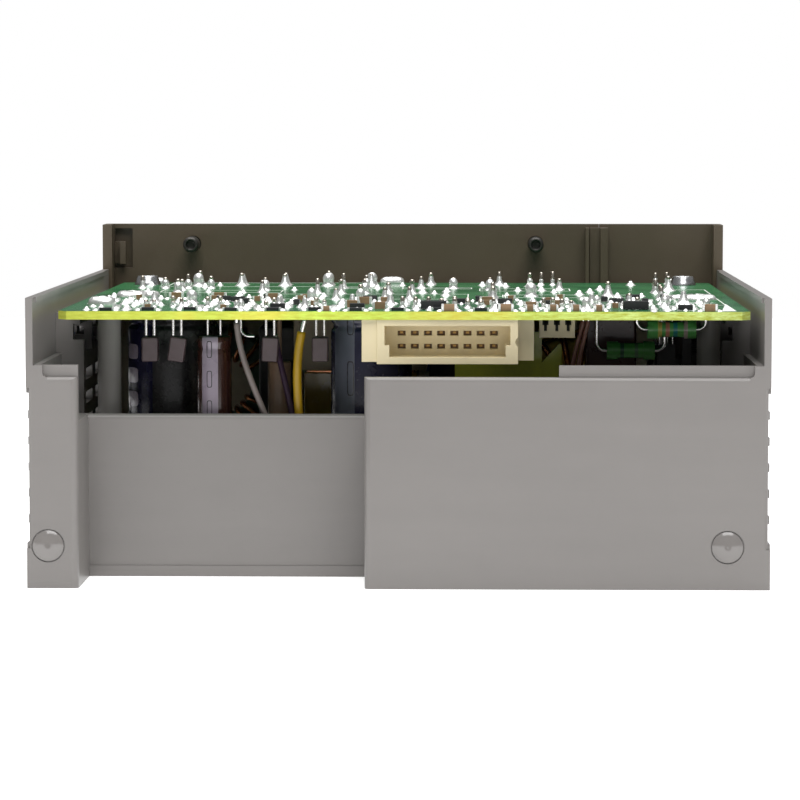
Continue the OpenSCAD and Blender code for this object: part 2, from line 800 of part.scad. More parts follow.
module toroid(outer, inner, h) {
    rotate_extrude() translate([inner / 2, -h / 2]) square([(outer - inner) / 2, h]);
}

module choke_core() {
    color("#3b4a3c") place() translate([choke_x, choke_y, choke_z]) rotate([90, 0, 0]) toroid(24, 13, 8);
}

// Turns of wire round a toroid standing on edge, between two angles
module toroid_turns(outer, inner, h, a0, a1, n, d) {
    m = (outer + inner) / 4;
    rr = (outer - inner) / 4 + d / 2 + 0.3;
    for (i = [0 : n - 1]) rotate([0, -(a0 + (a1 - a0) * i / (n - 1)), 0]) translate([m, 0, 0]) {
        for (s = [-1, 1]) translate([0, s * (h / 2 + d / 2 + 0.2), 0]) rotate([0, 90, 0])
            cylinder(h = 2 * rr + d, d = d, center = true, $fn = 16);
        for (s = [-1, 1]) translate([s * rr, 0, 0]) rotate([90, 0, 0])
            cylinder(h = h + 2 * d + 0.2, d = d, center = true, $fn = 16);
    }
}

module choke_windings() {
    color("#b4652c") place() translate([choke_x, choke_y, choke_z]) {
        toroid_turns(24, 13, 8, 20, 160, 9, 1);
        toroid_turns(24, 13, 8, 200, 340, 9, 1);
    }
}

coil_x = 104;
coil_y = 74;
coil_z = 30;

module output_inductor_core() {
    color("#c8b43c") place() translate([coil_x, coil_y, coil_z]) rotate([90, 0, 0]) toroid(26, 14, 10);
}

module output_inductor_winding() {
    color("#b4652c") place() translate([coil_x, coil_y, coil_z]) toroid_turns(26, 14, 10, -60, 240, 15, 1.3);
}

heat_y = [46, 66, 90];
sink_x = 125.4;
tab_hole_z = 28.7;

module heatsink() {
    color("#a7a9aa") place() {
        block([sink_x, 38, 8], [sink_x + 2, 104, board_z - 1]);
        for (y = [39, 54, 60, 75, 82, 102]) block([sink_x, y, 8], [sink_x + 8, y + 1.4, board_z - 8]);
        for (y = [42, 99]) block([sink_x, y, board_z - 2], [sink_x + 1, y + 2, board_z]);
    }
}

module power_transistors() {
    color("#1b1b1d") place() for (y = heat_y) difference() {
        union() {
            block([sink_x - 4.4, y - 5, 32], [sink_x, y + 5, 41]);
            block([sink_x - 1.3, y - 5, 25.6], [sink_x, y + 5, 32 + eps]);
        }
        block([sink_x - 5, y - 6, 40], [sink_x - 3.6, y + 6, 42]);
        rod_x(sink_x - 2, sink_x + 1, y, tab_hole_z, 3.8);
    }
}

module transistor_screws() {
    color("#b9bcbe") place() for (y = heat_y) {
        rod_x(sink_x - 1.4, sink_x, y, tab_hole_z, 3);
        rod_x(sink_x - 3.3, sink_x - 1.35, y, tab_hole_z, 5.5);
    }
}

module bridge_rectifier() {
    color("#1d1d1f") place() {
        block([86, 56, 33], [90, 72, 46]);
        for (i = [0 : 3]) rod_z(46, board_z, 88, 58 + i * 4, 1);
    }
}

module control_board() {
    notch_x = 97.5;
    edge_x = 101.4;
    outline = [[80.5, 10], [edge_x, 10], [edge_x, 44.2], [edge_x - 0.5, 44.7],
        [notch_x, 41], [notch_x, 47], [80.5, 47]];
    color("#6f7a2c") place() translate([0, 30.6, 0]) rotate([90, 0, 0]) linear_extrude(1.6) polygon(outline);
}

module control_board_header() {
    color("#c9c39a") place() difference() {
        block([96.9, 22.8, 46.2], [103.8, 25.4, board_z]);
        for (i = [0 : 2]) {
            x = 98.1 + i * 2.2;
            block([x - 0.3, 22, 47.4], [x + 0.3, 23.6, 50]);
            block([x - 0.6, 22, 48.6], [x + 0.6, 23.6, 50]);
        }
    }
}

module control_board_parts() {
    color("#202022") place() {
        block([83, 27.4, 26], [88, 29, 30]);
        block([90.5, 27.4, 30], [95.5, 29, 34]);
        for (i = [0 : 4]) block([82.6 + i * 3, 28.4, 36.4], [84.2 + i * 3, 29, 37.2]);
        for (i = [0 : 3]) block([84 + i * 3.6, 29, 47], [84.6 + i * 3.6, 29.8, board_z]);
        block([120.5, 38, 39.4], [124.1, 40.4, 43.9]);
    }
}

// ---- Solder joints ----

function row_x(x, step, n, y, r) = [for (i = [0 : n - 1]) [x + i * step, y, r]];
function row_y(x, y, step, n, r) = [for (i = [0 : n - 1]) [x, y + i * step, r]];
function pair_x(x, y, half, r) = row_x(x - half, 2 * half, 2, y, r);

// Where the leads of the parts under the board come through it, as [x, y, radius of the joint]
joint_spots = concat(
    row_x(first_contact_x, pitch, contact_cols, conn_y0 + conn_d + 0.9, 0.85),
    row_x(first_contact_x, pitch, contact_cols, conn_y0 + conn_d + 0.9 + pitch, 0.85),
    pair_x(big_can.x, big_can.y, 3.75, 1.5),
    pair_x(small_can.x, small_can.y, 3.75, 1.4),
    pair_x(brown_x, 28, 1.25, 0.8),
    [for (x = bead_x) each pair_x(x, 27.8, 0.8, 0.7)],
    [[45.8, 34.5, 1.2], [45.8, 39.5, 1.2], [51.4, 24, 1.3]],
    [[38.1, 23.6, 0.9], [38.8, 26.2, 0.9], [106.1, 26, 1.2]],
    row_x(97.7, 1.8, 4, 24.1, 0.7),
    [for (i = [0, 1]) each pair_x(axial_x[i] + axial_len / 2, axial_y[i], axial_len / 2 + 2, 1.1)],
    pair_x(111.5, 46, 3.75, 1.2),
    [for (y = heat_y) each row_y(122.5, y - pitch, pitch, 3, 1)],
    row_y(sink_x + 0.5, 43, 57, 2, 1.7),
    row_x(core_x + core_w / 2 - 10, 5, 5, core_y - 3.2, 1.3),
    row_x(core_x + core_w / 2 - 10, 5, 5, core_y + core_d + 3.2, 1.3),
    row_y(88, 58, 4, 4, 1.3),
    [for (y = [choke_y - 5, choke_y + 5]) each pair_x(choke_x, y, 9, 1.3)],
    pair_x(coil_x, coil_y, 8, 1.6),
    pair_x(95, 103, 7.5, 1.3),
    [for (x = disc_x) each pair_x(x, 110.2, 2.5, 1.1)],
    pair_x(76, 110, 3.5, 1.3),
    pair_x(58, 111, 2.5, 1.2),
    [for (i = [0 : terminal_count - 1]) each row_y(terminal_x(i), terminal_y0 + 3, 5, 2, 1.6)],
    [for (x = [fuse_x0 + 2.35, fuse_x0 + fuse_len - 2.35]) each row_y(x, fuse_y - 2.85, 5.7, 2, 1.3)],
    row_x(header_x - pitch, pitch, 3, bay_y + 10, 0.9),
    pair_x(led_x, panel_y - 9.75, pitch / 2, 0.9)
);

function joint_h(r) = 1.2 * r + 0.4;

module solder_joints() {
    color("#d4d6d4") place() for (p = joint_spots) translate([p.x, p.y, board_top])
        cylinder(h = joint_h(p.z), r1 = p.z, r2 = 0.45, $fn = 24);
}

module lead_ends() {
    color("#e4e6e4") place() for (p = joint_spots) translate([p.x, p.y, board_top + joint_h(p.z)])
        cylinder(h = 1.2, d = 0.8, $fn = 16);
}

// ---- Wires ----

function cubic(p, t) = let (u = 1 - t)
    u * u * u * p[0] + 3 * u * u * t * p[1] + 3 * u * t * t * p[2] + t * t * t * p[3];
function cubic_dir(p, t) = let (u = 1 - t)
    3 * (u * u * (p[1] - p[0]) + 2 * u * t * (p[2] - p[1]) + t * t * (p[3] - p[2]));
function unit(v) = v / norm(v);
function ring(c, dir, r, sides) = let (u = unit(cross(dir, [0, 1, 0])), v = unit(cross(dir, u)))
    [for (i = [0 : sides - 1]) c + r * (cos(i * 360 / sides) * u + sin(i * 360 / sides) * v)];

// Round wire swept along one cubic curve
module wire(p, d) {
    sides = 10;
    rings = 16;
    points = [for (k = [0 : rings])
        for (q = ring(cubic(p, k / rings), cubic_dir(p, k / rings), d / 2, sides)) q];
    walls = [for (k = [0 : rings - 1]) for (i = [0 : sides - 1])
        let (j = (i + 1) % sides)
        [k * sides + i, k * sides + j, (k + 1) * sides + j, (k + 1) * sides + i]];
    caps = [[for (i = [sides - 1 : -1 : 0]) i], [for (i = [0 : sides - 1]) rings * sides + i]];
    polyhedron(points = points, faces = concat(walls, caps), convexity = 4);
}

module yellow_wire() {
    color("#d8c21c") place() wire([[51.4, 24, 49.8], [49.6, 24, 43], [48.6, 24, 37], [53, 25.6, 8]], 1.7);
}

module grey_wire() {
    color("#9c8f8e") place()
        wire([[38.1, 23.6, board_z], [38.3, 24, 42], [41.5, 24, 36], [51, 23.2, 14]], 1.2);
}

module purple_wire() {
    color("#3b2b4a") place()
        wire([[45.3, 30.8, 46.4], [45.6, 30.6, 40], [48.9, 28, 36], [51.6, 27.5, 10]], 1.2);
}

module brown_wires() {
    color("#5a3326") place() {
        wire([[105.6, 26, board_z], [104.6, 26, 44], [102, 26, 42], [101.6, 27, 12]], 0.9);
        wire([[106.6, 26, board_z], [105.6, 26, 44], [103.2, 26, 42], [102.8, 27, 12]], 0.9);
    }
}

housing_tray();
rear_plugs();
front_bezel();
upper_front_panel();
captive_screw_lower();
captive_screw_upper();
terminal_door();
door_label();
door_hinge_pin();
power_led();
power_led_lens();
insulating_barrier();
terminal_block();
terminal_clamps();
terminal_screws();
fuse_tube();
fuse_caps();
fuse_clips();
voltage_header();
voltage_pins();
voltage_jumper();
main_board();
board_screws();
bus_connector();
bus_contacts();
solder_joints();
lead_ends();
chip_resistors();
chip_capacitors();
control_chips();
bulk_capacitors();
brown_capacitor();
rod_inductor();
ferrite_beads();
component_leads();
axial_resistors();
film_capacitor();
suppression_capacitor();
disc_capacitors();
varistor();
thermistor();
transformer_core();
transformer_bobbin();
transformer_winding();
transformer_tape();
choke_core();
choke_windings();
output_inductor_core();
output_inductor_winding();
heatsink();
power_transistors();
transistor_screws();
bridge_rectifier();
control_board();
control_board_header();
control_board_parts();
yellow_wire();
grey_wire();
purple_wire();
brown_wires();
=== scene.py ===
import math
import random

import bmesh
import bpy
from mathutils import Matrix, Vector


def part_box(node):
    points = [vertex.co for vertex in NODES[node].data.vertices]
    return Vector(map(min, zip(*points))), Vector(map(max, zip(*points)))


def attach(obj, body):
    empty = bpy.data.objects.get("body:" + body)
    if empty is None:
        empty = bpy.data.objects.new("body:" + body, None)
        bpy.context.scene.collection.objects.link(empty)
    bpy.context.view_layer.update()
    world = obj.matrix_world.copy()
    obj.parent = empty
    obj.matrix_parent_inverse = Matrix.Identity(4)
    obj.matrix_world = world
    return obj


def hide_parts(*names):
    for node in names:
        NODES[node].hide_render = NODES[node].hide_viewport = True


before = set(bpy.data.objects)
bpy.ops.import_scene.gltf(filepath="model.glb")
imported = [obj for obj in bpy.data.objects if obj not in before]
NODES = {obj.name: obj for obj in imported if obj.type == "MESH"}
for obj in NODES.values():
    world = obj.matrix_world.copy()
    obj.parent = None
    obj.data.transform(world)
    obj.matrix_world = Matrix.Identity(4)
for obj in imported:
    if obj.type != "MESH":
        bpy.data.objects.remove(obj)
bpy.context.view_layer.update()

MM = 0.001
RANDOM = random.Random(12)


# ---------------------------------------------------------------- places

BOARD_LOW, BOARD_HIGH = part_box("main_board")
BOARD_TOP = BOARD_HIGH.z
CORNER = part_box("housing_tray")[0]
PITCH = 2.54 * MM


def on_board(x, y, lift=0.0):
    """Point on the board's upper face, in millimetres from the housing's rear left corner."""
    return Vector((CORNER.x + x * MM, CORNER.y + y * MM, BOARD_TOP + lift * MM))


def under_board(x, y, z):
    """Point inside the housing, in millimetres from its rear left corner."""
    return Vector((CORNER.x + x * MM, CORNER.y + y * MM, z * MM))


# ---------------------------------------------------------------- materials

def node_at(tree, kind, **values):
    node = tree.nodes.new(kind)
    for key, value in values.items():
        if hasattr(node, key):
            setattr(node, key, value)
        else:
            node.inputs[key.replace("_", " ")].default_value = value
    return node


def coordinates(tree):
    return tree.nodes.new("ShaderNodeTexCoord").outputs["Object"]


def noise(tree, scale, detail=3.0, rough=0.5, at=None):
    n = node_at(tree, "ShaderNodeTexNoise", Scale=scale, Detail=detail, Roughness=rough)
    tree.links.new(at or coordinates(tree), n.inputs["Vector"])
    return n.outputs["Fac"]


def ramp(tree, value, stops):
    """Colour by value, from (place, colour) stops; a plain number as a colour is a grey."""
    r = tree.nodes.new("ShaderNodeValToRGB")
    tree.links.new(value, r.inputs["Fac"])
    elements = r.color_ramp.elements
    while len(elements) < len(stops):
        elements.new(0.5)
    for element, (place, colour) in zip(elements, stops):
        element.position = place
        element.color = (*colour, 1.0) if isinstance(colour, tuple) else (colour, colour, colour, 1.0)
    return r.outputs["Color"]


def mix(tree, factor, a, b, mode="MIX"):
    m = tree.nodes.new("ShaderNodeMix")
    m.data_type = "RGBA"
    m.blend_type = mode
    for value, socket in ((factor, m.inputs["Factor"]), (a, m.inputs[6]), (b, m.inputs[7])):
        if hasattr(value, "node"):
            tree.links.new(value, socket)
        elif isinstance(value, (tuple, list)):
            socket.default_value = (*value, 1.0)
        else:
            socket.default_value = value
    return m.outputs[2]


def maths(tree, operation, a, b=0.0):
    m = node_at(tree, "ShaderNodeMath", operation=operation)
    for value, socket in ((a, m.inputs[0]), (b, m.inputs[1])):
        if hasattr(value, "node"):
            tree.links.new(value, socket)
        else:
            socket.default_value = value
    return m.outputs[0]


def bump(tree, height, strength, distance, normal=None):
    b = node_at(tree, "ShaderNodeBump", Strength=strength, Distance=distance)
    tree.links.new(height, b.inputs["Height"])
    if normal:
        tree.links.new(normal, b.inputs["Normal"])
    return b.outputs["Normal"]


def shade(c, k):
    return tuple(min(1.0, v * k) for v in c)


def start(name):
    m = bpy.data.materials.new(name)
    m.use_nodes = True
    tree = m.node_tree
    return m, tree, tree.nodes["Principled BSDF"]


def finish_of(name, colour, rough, metal=0.0, vary=0.08, scale=45.0, grain=0.25, grain_scale=2600.0,
              grain_mm=0.03, coat=0.0):
    """A moulded, sintered or plated finish: blotchy colour, uneven gloss and a fine surface grain."""
    m, tree, bsdf = start(name)
    wide = noise(tree, scale, 4.0, 0.6)
    colours = ramp(tree, wide, [(0.3, shade(colour, 1 - vary)), (0.7, shade(colour, 1 + vary))])
    tree.links.new(colours, bsdf.inputs["Base Color"])
    fine = noise(tree, grain_scale, 2.0, 0.5)
    spread = ramp(tree, noise(tree, scale * 3, 3.0, 0.6),
                  [(0.3, rough * 0.85), (0.7, min(1.0, rough * 1.15))])
    tree.links.new(spread, bsdf.inputs["Roughness"])
    tree.links.new(bump(tree, fine, grain, grain_mm * MM), bsdf.inputs["Normal"])
    bsdf.inputs["Metallic"].default_value = metal
    bsdf.inputs["Coat Weight"].default_value = coat
    bsdf.inputs["Coat Roughness"].default_value = 0.12
    return m


def housing_plastic():
    """Warm grey moulding with a spark-eroded texture and faint flow marks."""
    m, tree, bsdf = start("housing_plastic")
    at = coordinates(tree)
    stretched = tree.nodes.new("ShaderNodeMapping")
    stretched.inputs["Scale"].default_value = (6, 6, 60)
    tree.links.new(at, stretched.inputs["Vector"])
    flow = noise(tree, 3.0, 3.0, 0.6, stretched.outputs["Vector"])
    blotch = noise(tree, 22.0, 5.0, 0.65, at)
    base = (0.212, 0.199, 0.190)
    colours = ramp(tree, maths(tree, "ADD", maths(tree, "MULTIPLY", blotch, 0.7),
                               maths(tree, "MULTIPLY", flow, 0.3)),
                   [(0.32, shade(base, 0.93)), (0.68, shade(base, 1.05))])
    specks = noise(tree, 1900.0, 1.0, 0.4, at)
    spots = ramp(tree, specks, [(0.70, 0), (0.80, 1)])
    colours = mix(tree, maths(tree, "MULTIPLY", spots, 0.10), colours, shade(base, 0.6))
    tree.links.new(colours, bsdf.inputs["Base Color"])
    spark = noise(tree, 3200.0, 3.0, 0.6, at)
    tree.links.new(bump(tree, spark, 0.35, 0.03 * MM), bsdf.inputs["Normal"])
    tree.links.new(ramp(tree, blotch, [(0.3, 0.27), (0.7, 0.36)]), bsdf.inputs["Roughness"])
    bsdf.inputs["Specular IOR Level"].default_value = 0.45
    return m


def board_material():
    """Green solder mask with copper runs under it on the faces, and raw glass fibre on the edges, whose
    colour carries a painted glow of light shining through the board, brightest at the high-X end.
    """
    m, tree, bsdf = start("board_laminate")
    at = coordinates(tree)
    runs = node_at(tree, "ShaderNodeTexBrick", offset=0.37, offset_frequency=3, squash=1.6,
                   squash_frequency=2, Scale=210.0, Mortar_Size=0.07, Mortar_Smooth=0.1,
                   Brick_Width=4.5, Row_Height=0.4)
    for colour, grey in (("Color1", 0), ("Color2", 0), ("Mortar", 1)):
        runs.inputs[colour].default_value = (grey, grey, grey, 1)
    tree.links.new(at, runs.inputs["Vector"])
    cells = node_at(tree, "ShaderNodeTexVoronoi", voronoi_dimensions="2D", distance="CHEBYCHEV", Scale=85.0)
    tree.links.new(at, cells.inputs["Vector"])
    area_of = tree.nodes.new("ShaderNodeSeparateColor")
    tree.links.new(cells.outputs["Color"], area_of.inputs["Color"])
    pours = maths(tree, "GREATER_THAN", area_of.outputs["Red"], 0.55)
    runs_here = maths(tree, "LESS_THAN", area_of.outputs["Red"], 0.4)
    copper = maths(tree, "MAXIMUM", maths(tree, "MULTIPLY", runs.outputs["Color"], runs_here), pours)
    mask = mix(tree, copper, (0.022, 0.125, 0.048), (0.040, 0.180, 0.070))
    split = tree.nodes.new("ShaderNodeSeparateXYZ")
    tree.links.new(at, split.inputs["Vector"])
    along = maths(tree, "DIVIDE", maths(tree, "SUBTRACT", split.outputs["X"], BOARD_LOW.x),
                  BOARD_HIGH.x - BOARD_LOW.x)
    # The edge colour is the resin's yellow-green raised to a painted glow of light through the board,
    # brighter towards the high-X end.
    resin_and_painted_glow = ramp(tree, along, [(0.0, (0.62, 0.68, 0.10)), (0.45, (0.62, 0.82, 0.13)),
                               (1.0, (0.80, 0.97, 0.36))])
    fibre = tree.nodes.new("ShaderNodeMapping")
    fibre.inputs["Scale"].default_value = (1, 1, 5)
    tree.links.new(at, fibre.inputs["Vector"])
    strands = ramp(tree, noise(tree, 420.0, 4.0, 0.7, fibre.outputs["Vector"]), [(0.36, 0), (0.66, 1)])
    edge = mix(tree, strands, (0.50, 0.55, 0.06), resin_and_painted_glow)
    stains = ramp(tree, noise(tree, 60.0, 2.0, 0.5, at), [(0.55, 0), (0.75, 0.7)])
    edge = mix(tree, stains, edge, (0.85, 0.66, 0.10))
    face = tree.nodes.new("ShaderNodeNewGeometry")
    normal = tree.nodes.new("ShaderNodeSeparateXYZ")
    tree.links.new(face.outputs["Normal"], normal.inputs["Vector"])
    is_edge = maths(tree, "LESS_THAN", maths(tree, "ABSOLUTE", normal.outputs["Z"]), 0.5)
    tree.links.new(mix(tree, is_edge, mask, edge), bsdf.inputs["Base Color"])
    tree.links.new(ramp(tree, is_edge, [(0.0, 0.22), (1.0, 0.6)]), bsdf.inputs["Roughness"])
    raised = maths(tree, "ADD", copper, maths(tree, "MULTIPLY", strands, is_edge))
    tree.links.new(bump(tree, raised, 0.6, 0.04 * MM), bsdf.inputs["Normal"])
    bsdf.inputs["Specular IOR Level"].default_value = 0.25
    return m


def banded(name, ground, bands):
    """Lacquered body with colour rings, each at its own distance in millimetres along X from the corner."""
    m, tree, bsdf = start(name)
    split = tree.nodes.new("ShaderNodeSeparateXYZ")
    tree.links.new(coordinates(tree), split.inputs["Vector"])
    place = maths(tree, "DIVIDE", maths(tree, "SUBTRACT", split.outputs["X"], CORNER.x), MM)
    colours = mix(tree, noise(tree, 300.0), shade(ground, 0.8), shade(ground, 1.2))
    for middle_x, width, colour in bands:
        off = maths(tree, "ABSOLUTE", maths(tree, "SUBTRACT", place, middle_x))
        near = maths(tree, "LESS_THAN", off, width / 2)
        colours = mix(tree, near, colours, colour)
    tree.links.new(colours, bsdf.inputs["Base Color"])
    tree.links.new(bump(tree, noise(tree, 900.0), 0.2, 0.03 * MM), bsdf.inputs["Normal"])
    bsdf.inputs["Roughness"].default_value = 0.3
    bsdf.inputs["Coat Weight"].default_value = 0.4
    return m


def glass(name, colour):
    m, tree, bsdf = start(name)
    tree.links.new(ramp(tree, noise(tree, 80.0), [(0.3, shade(colour, 0.95)), (0.7, colour)]),
                   bsdf.inputs["Base Color"])
    bsdf.inputs["Roughness"].default_value = 0.03
    bsdf.inputs["Transmission Weight"].default_value = 0.9
    return m


MAT = {
    "housing": housing_plastic(),
    "bezel": finish_of("bezel_plastic", (0.092, 0.070, 0.045), 0.42, vary=0.1, scale=30, grain=0.35),
    "door": finish_of("door_plastic", (0.105, 0.094, 0.077), 0.45, vary=0.08, scale=30, grain=0.4),
    "card": finish_of("label_card", (0.72, 0.70, 0.63), 0.8, vary=0.05, grain=0.2),
    "black_steel": finish_of("black_oxide_steel", (0.05, 0.047, 0.043), 0.38, 0.6, vary=0.25, scale=300),
    "steel": finish_of("zinc_steel", (0.66, 0.67, 0.68), 0.26, 1.0, vary=0.12, scale=400, grain=0.15),
    "brass": finish_of("nickel_brass", (0.72, 0.66, 0.48), 0.3, 1.0, vary=0.12, scale=300, grain=0.15),
    "gold": finish_of("gold_flash", (0.80, 0.58, 0.22), 0.25, 1.0, vary=0.1, scale=500, grain=0.1),
    "plug": finish_of("plug_plastic", (0.200, 0.187, 0.178), 0.13, vary=0.04, scale=60, coat=0.5),
    "solder": finish_of("bright_solder", (0.95, 0.95, 0.93), 0.30, 0.75, vary=0.05, scale=600, grain=0.5,
                        grain_scale=1300.0, grain_mm=0.09),
    "lead_tip": finish_of("cut_lead", (0.55, 0.50, 0.43), 0.28, 1.0, vary=0.2, scale=900, grain=0.3),
    "tinned": finish_of("tinned_copper", (0.88, 0.87, 0.85), 0.17, 1.0, vary=0.06, scale=700, grain=0.25),
    "cream": finish_of("cream_nylon", (0.76, 0.66, 0.42), 0.42, vary=0.06, scale=90, grain=0.2),
    "black": finish_of("black_plastic", (0.022, 0.021, 0.020), 0.45, vary=0.2, scale=120, grain=0.3),
    "epoxy": finish_of("chip_epoxy", (0.024, 0.024, 0.026), 0.38, vary=0.2, scale=400, grain=0.35),
    "ceramic": finish_of("chip_ceramic", (0.28, 0.17, 0.09), 0.5, vary=0.15, scale=900),
    "white_ink": finish_of("white_ink", (0.84, 0.85, 0.80), 0.55, vary=0.05, scale=900),
    "alumina": finish_of("chip_resistor_top", (0.03, 0.03, 0.034), 0.35, vary=0.25, scale=900),
    "navy": finish_of("navy_sleeve", (0.012, 0.011, 0.040), 0.25, vary=0.15, scale=150, coat=0.3),
    "charcoal": finish_of("charcoal_sleeve", (0.024, 0.023, 0.024), 0.28, vary=0.15, scale=150, coat=0.2),
    "stripe_blue": finish_of("sleeve_stripe_blue", (0.125, 0.135, 0.17), 0.32, vary=0.08, scale=200,
                             coat=0.2),
    "brown": finish_of("brown_sleeve", (0.036, 0.011, 0.007), 0.22, vary=0.15, scale=150, coat=0.5),
    "stripe_lilac": finish_of("sleeve_stripe_lilac", (0.30, 0.25, 0.31), 0.3, vary=0.08, scale=200, coat=0.3),
    "aluminium": finish_of("bare_aluminium", (0.62, 0.63, 0.64), 0.33, 1.0, vary=0.08, scale=200, grain=0.2),
    "anodised": finish_of("black_anodised", (0.045, 0.045, 0.047), 0.36, 0.5, vary=0.15, scale=200,
                          grain=0.3),
    "rubber": finish_of("rubber_bung", (0.03, 0.03, 0.03), 0.7, vary=0.2, scale=200),
    "tan": finish_of("tan_sleeve", (0.20, 0.125, 0.08), 0.34, vary=0.12, scale=150, coat=0.2),
    "mauve": finish_of("ferrite_mauve", (0.085, 0.058, 0.062), 0.42, vary=0.18, scale=260),
    "film_red": finish_of("film_red", (0.055, 0.012, 0.009), 0.3, vary=0.14, scale=160, coat=0.3),
    "film_yellow": finish_of("film_yellow", (0.62, 0.47, 0.06), 0.36, vary=0.06, scale=100),
    "disc_blue": finish_of("disc_blue", (0.03, 0.15, 0.38), 0.28, vary=0.12, scale=200, coat=0.4),
    "varistor": finish_of("varistor_blue", (0.02, 0.07, 0.30), 0.3, vary=0.12, scale=200, coat=0.3),
    "thermistor": finish_of("thermistor_black", (0.03, 0.04, 0.033), 0.5, vary=0.2, scale=200),
    "ferrite": finish_of("sintered_ferrite", (0.045, 0.043, 0.041), 0.55, vary=0.25, scale=250, grain=0.5),
    "bobbin": finish_of("bobbin_phenolic", (0.42, 0.34, 0.22), 0.45, vary=0.1, scale=100),
    "copper": finish_of("enamelled_copper", (0.52, 0.19, 0.06), 0.24, 0.75, vary=0.12, scale=250, coat=0.6),
    "tape": finish_of("polyester_tape", (0.42, 0.26, 0.03), 0.25, vary=0.06, scale=90, coat=0.5),
    "core_green": finish_of("core_green", (0.05, 0.10, 0.06), 0.45, vary=0.15, scale=180),
    "core_yellow": finish_of("core_yellow", (0.60, 0.46, 0.08), 0.42, vary=0.1, scale=180),
    "olive": finish_of("olive_board", (0.36, 0.40, 0.02), 0.35, vary=0.18, scale=160, coat=0.3),
    "wire_yellow": finish_of("wire_yellow", (0.40, 0.24, 0.008), 0.36, vary=0.06, scale=120),
    "wire_grey": finish_of("wire_grey", (0.20, 0.165, 0.155), 0.42, vary=0.08, scale=120),
    "wire_purple": finish_of("wire_purple", (0.050, 0.022, 0.050), 0.36, vary=0.1, scale=120),
    "wire_brown": finish_of("wire_brown", (0.22, 0.10, 0.07), 0.36, vary=0.1, scale=120),
    "paper": finish_of("barrier_paper", (0.60, 0.55, 0.42), 0.7, vary=0.08, scale=160, grain=0.5,
                       grain_scale=900.0),
    "red": finish_of("red_jumper", (0.45, 0.04, 0.025), 0.3, vary=0.06, scale=120),
    "led": finish_of("led_green", (0.34, 0.60, 0.30), 0.12, vary=0.06, scale=120, coat=0.5),
    "lens": finish_of("lens_green", (0.30, 0.58, 0.28), 0.1, vary=0.06, scale=120, coat=0.6),
    "nickel": finish_of("nickel_cap", (0.72, 0.71, 0.69), 0.18, 1.0, vary=0.06, scale=300, grain=0.1),
    # Flat dark colour of painted shade for the depths of the connector's holes.
    "hole_shade": finish_of("contact_shadow", (0.15, 0.075, 0.02), 0.5, vary=0.2, scale=900),
    # Flat dark colour of painted shade for the depths of the header's slots.
    "slot_shade": finish_of("header_shadow", (0.018, 0.014, 0.010), 0.7, vary=0.2, scale=900),
    "spring": finish_of("contact_spring", (0.42, 0.24, 0.07), 0.4, 0.6, vary=0.2, scale=900),
    "board": board_material(),
    "fuse": glass("fuse_glass", (0.93, 0.96, 0.95)),
    # The yellowish ring at 120.4 mm is a painted highlight on the upper resistor's body; the other rings are
    # colour rings.
    "resistor": banded("resistor_bands", (0.09, 0.36, 0.08),
                       [(120.4, 0.8, (0.60, 0.55, 0.12)), (121.9, 0.8, (0.50, 0.22, 0.14)),
                        (123.4, 0.8, (0.02, 0.22, 0.20)), (125.4, 0.8, (0.36, 0.32, 0.26)),
                        (113.4, 0.7, (0.03, 0.14, 0.06)), (116.2, 0.7, (0.10, 0.26, 0.10))]),
}

NODE_LOOK = {
    "housing_tray": "housing", "rear_plugs": "plug", "front_bezel": "bezel", "upper_front_panel": "bezel",
    "captive_screw_lower": "black_steel", "captive_screw_upper": "black_steel", "terminal_door": "door",
    "door_label": "card", "door_hinge_pin": "steel", "power_led": "led", "power_led_lens": "lens",
    "insulating_barrier": "paper", "terminal_block": "black", "terminal_clamps": "brass",
    "terminal_screws": "steel", "fuse_tube": "fuse", "fuse_caps": "nickel", "fuse_clips": "tinned",
    "voltage_header": "black", "voltage_pins": "gold", "voltage_jumper": "red", "main_board": "board",
    "board_screws": "steel", "bus_connector": "cream", "bus_contacts": "gold", "solder_joints": "solder",
    "lead_ends": "tinned", "chip_resistors": "alumina", "chip_capacitors": "ceramic",
    "control_chips": "epoxy",
    "bulk_capacitors": "navy", "brown_capacitor": "brown", "rod_inductor": "tan", "ferrite_beads": "mauve",
    "component_leads": "tinned", "axial_resistors": "resistor", "film_capacitor": "film_red",
    "suppression_capacitor": "film_yellow", "disc_capacitors": "disc_blue", "varistor": "varistor",
    "thermistor": "thermistor", "transformer_core": "ferrite", "transformer_bobbin": "bobbin",
    "transformer_winding": "copper", "transformer_tape": "tape", "choke_core": "core_green",
    "choke_windings": "copper", "output_inductor_core": "core_yellow", "output_inductor_winding": "copper",
    "heatsink": "anodised", "power_transistors": "epoxy", "transistor_screws": "steel",
    "bridge_rectifier": "epoxy", "control_board": "olive", "control_board_header": "cream",
    "control_board_parts": "epoxy", "yellow_wire": "wire_yellow", "grey_wire": "wire_grey",
    "purple_wire": "wire_purple", "brown_wires": "wire_brown",
}

for name, look in NODE_LOOK.items():
    slots = NODES[name].material_slots
    if not slots:
        NODES[name].data.materials.append(MAT[look])
    for s in slots:
        s.material = MAT[look]


# ---------------------------------------------------------------- edges of CAD nodes

def soften(name, width):
    """Rounds a CAD node's edges, as a mould or a press leaves them."""
    o = NODES[name]
    weld = o.modifiers.new("weld", "WELD")
    weld.merge_threshold = 0.002 * MM
    flat = o.modifiers.new("flat", "DECIMATE")
    flat.decimate_type = "DISSOLVE"
    flat.angle_limit = math.radians(0.6)
    bevel = o.modifiers.new("edges", "BEVEL")
    bevel.width = width * MM
    bevel.segments = 3
    bevel.limit_method = "ANGLE"
    bevel.angle_limit = math.radians(32)
    bevel.harden_normals = True


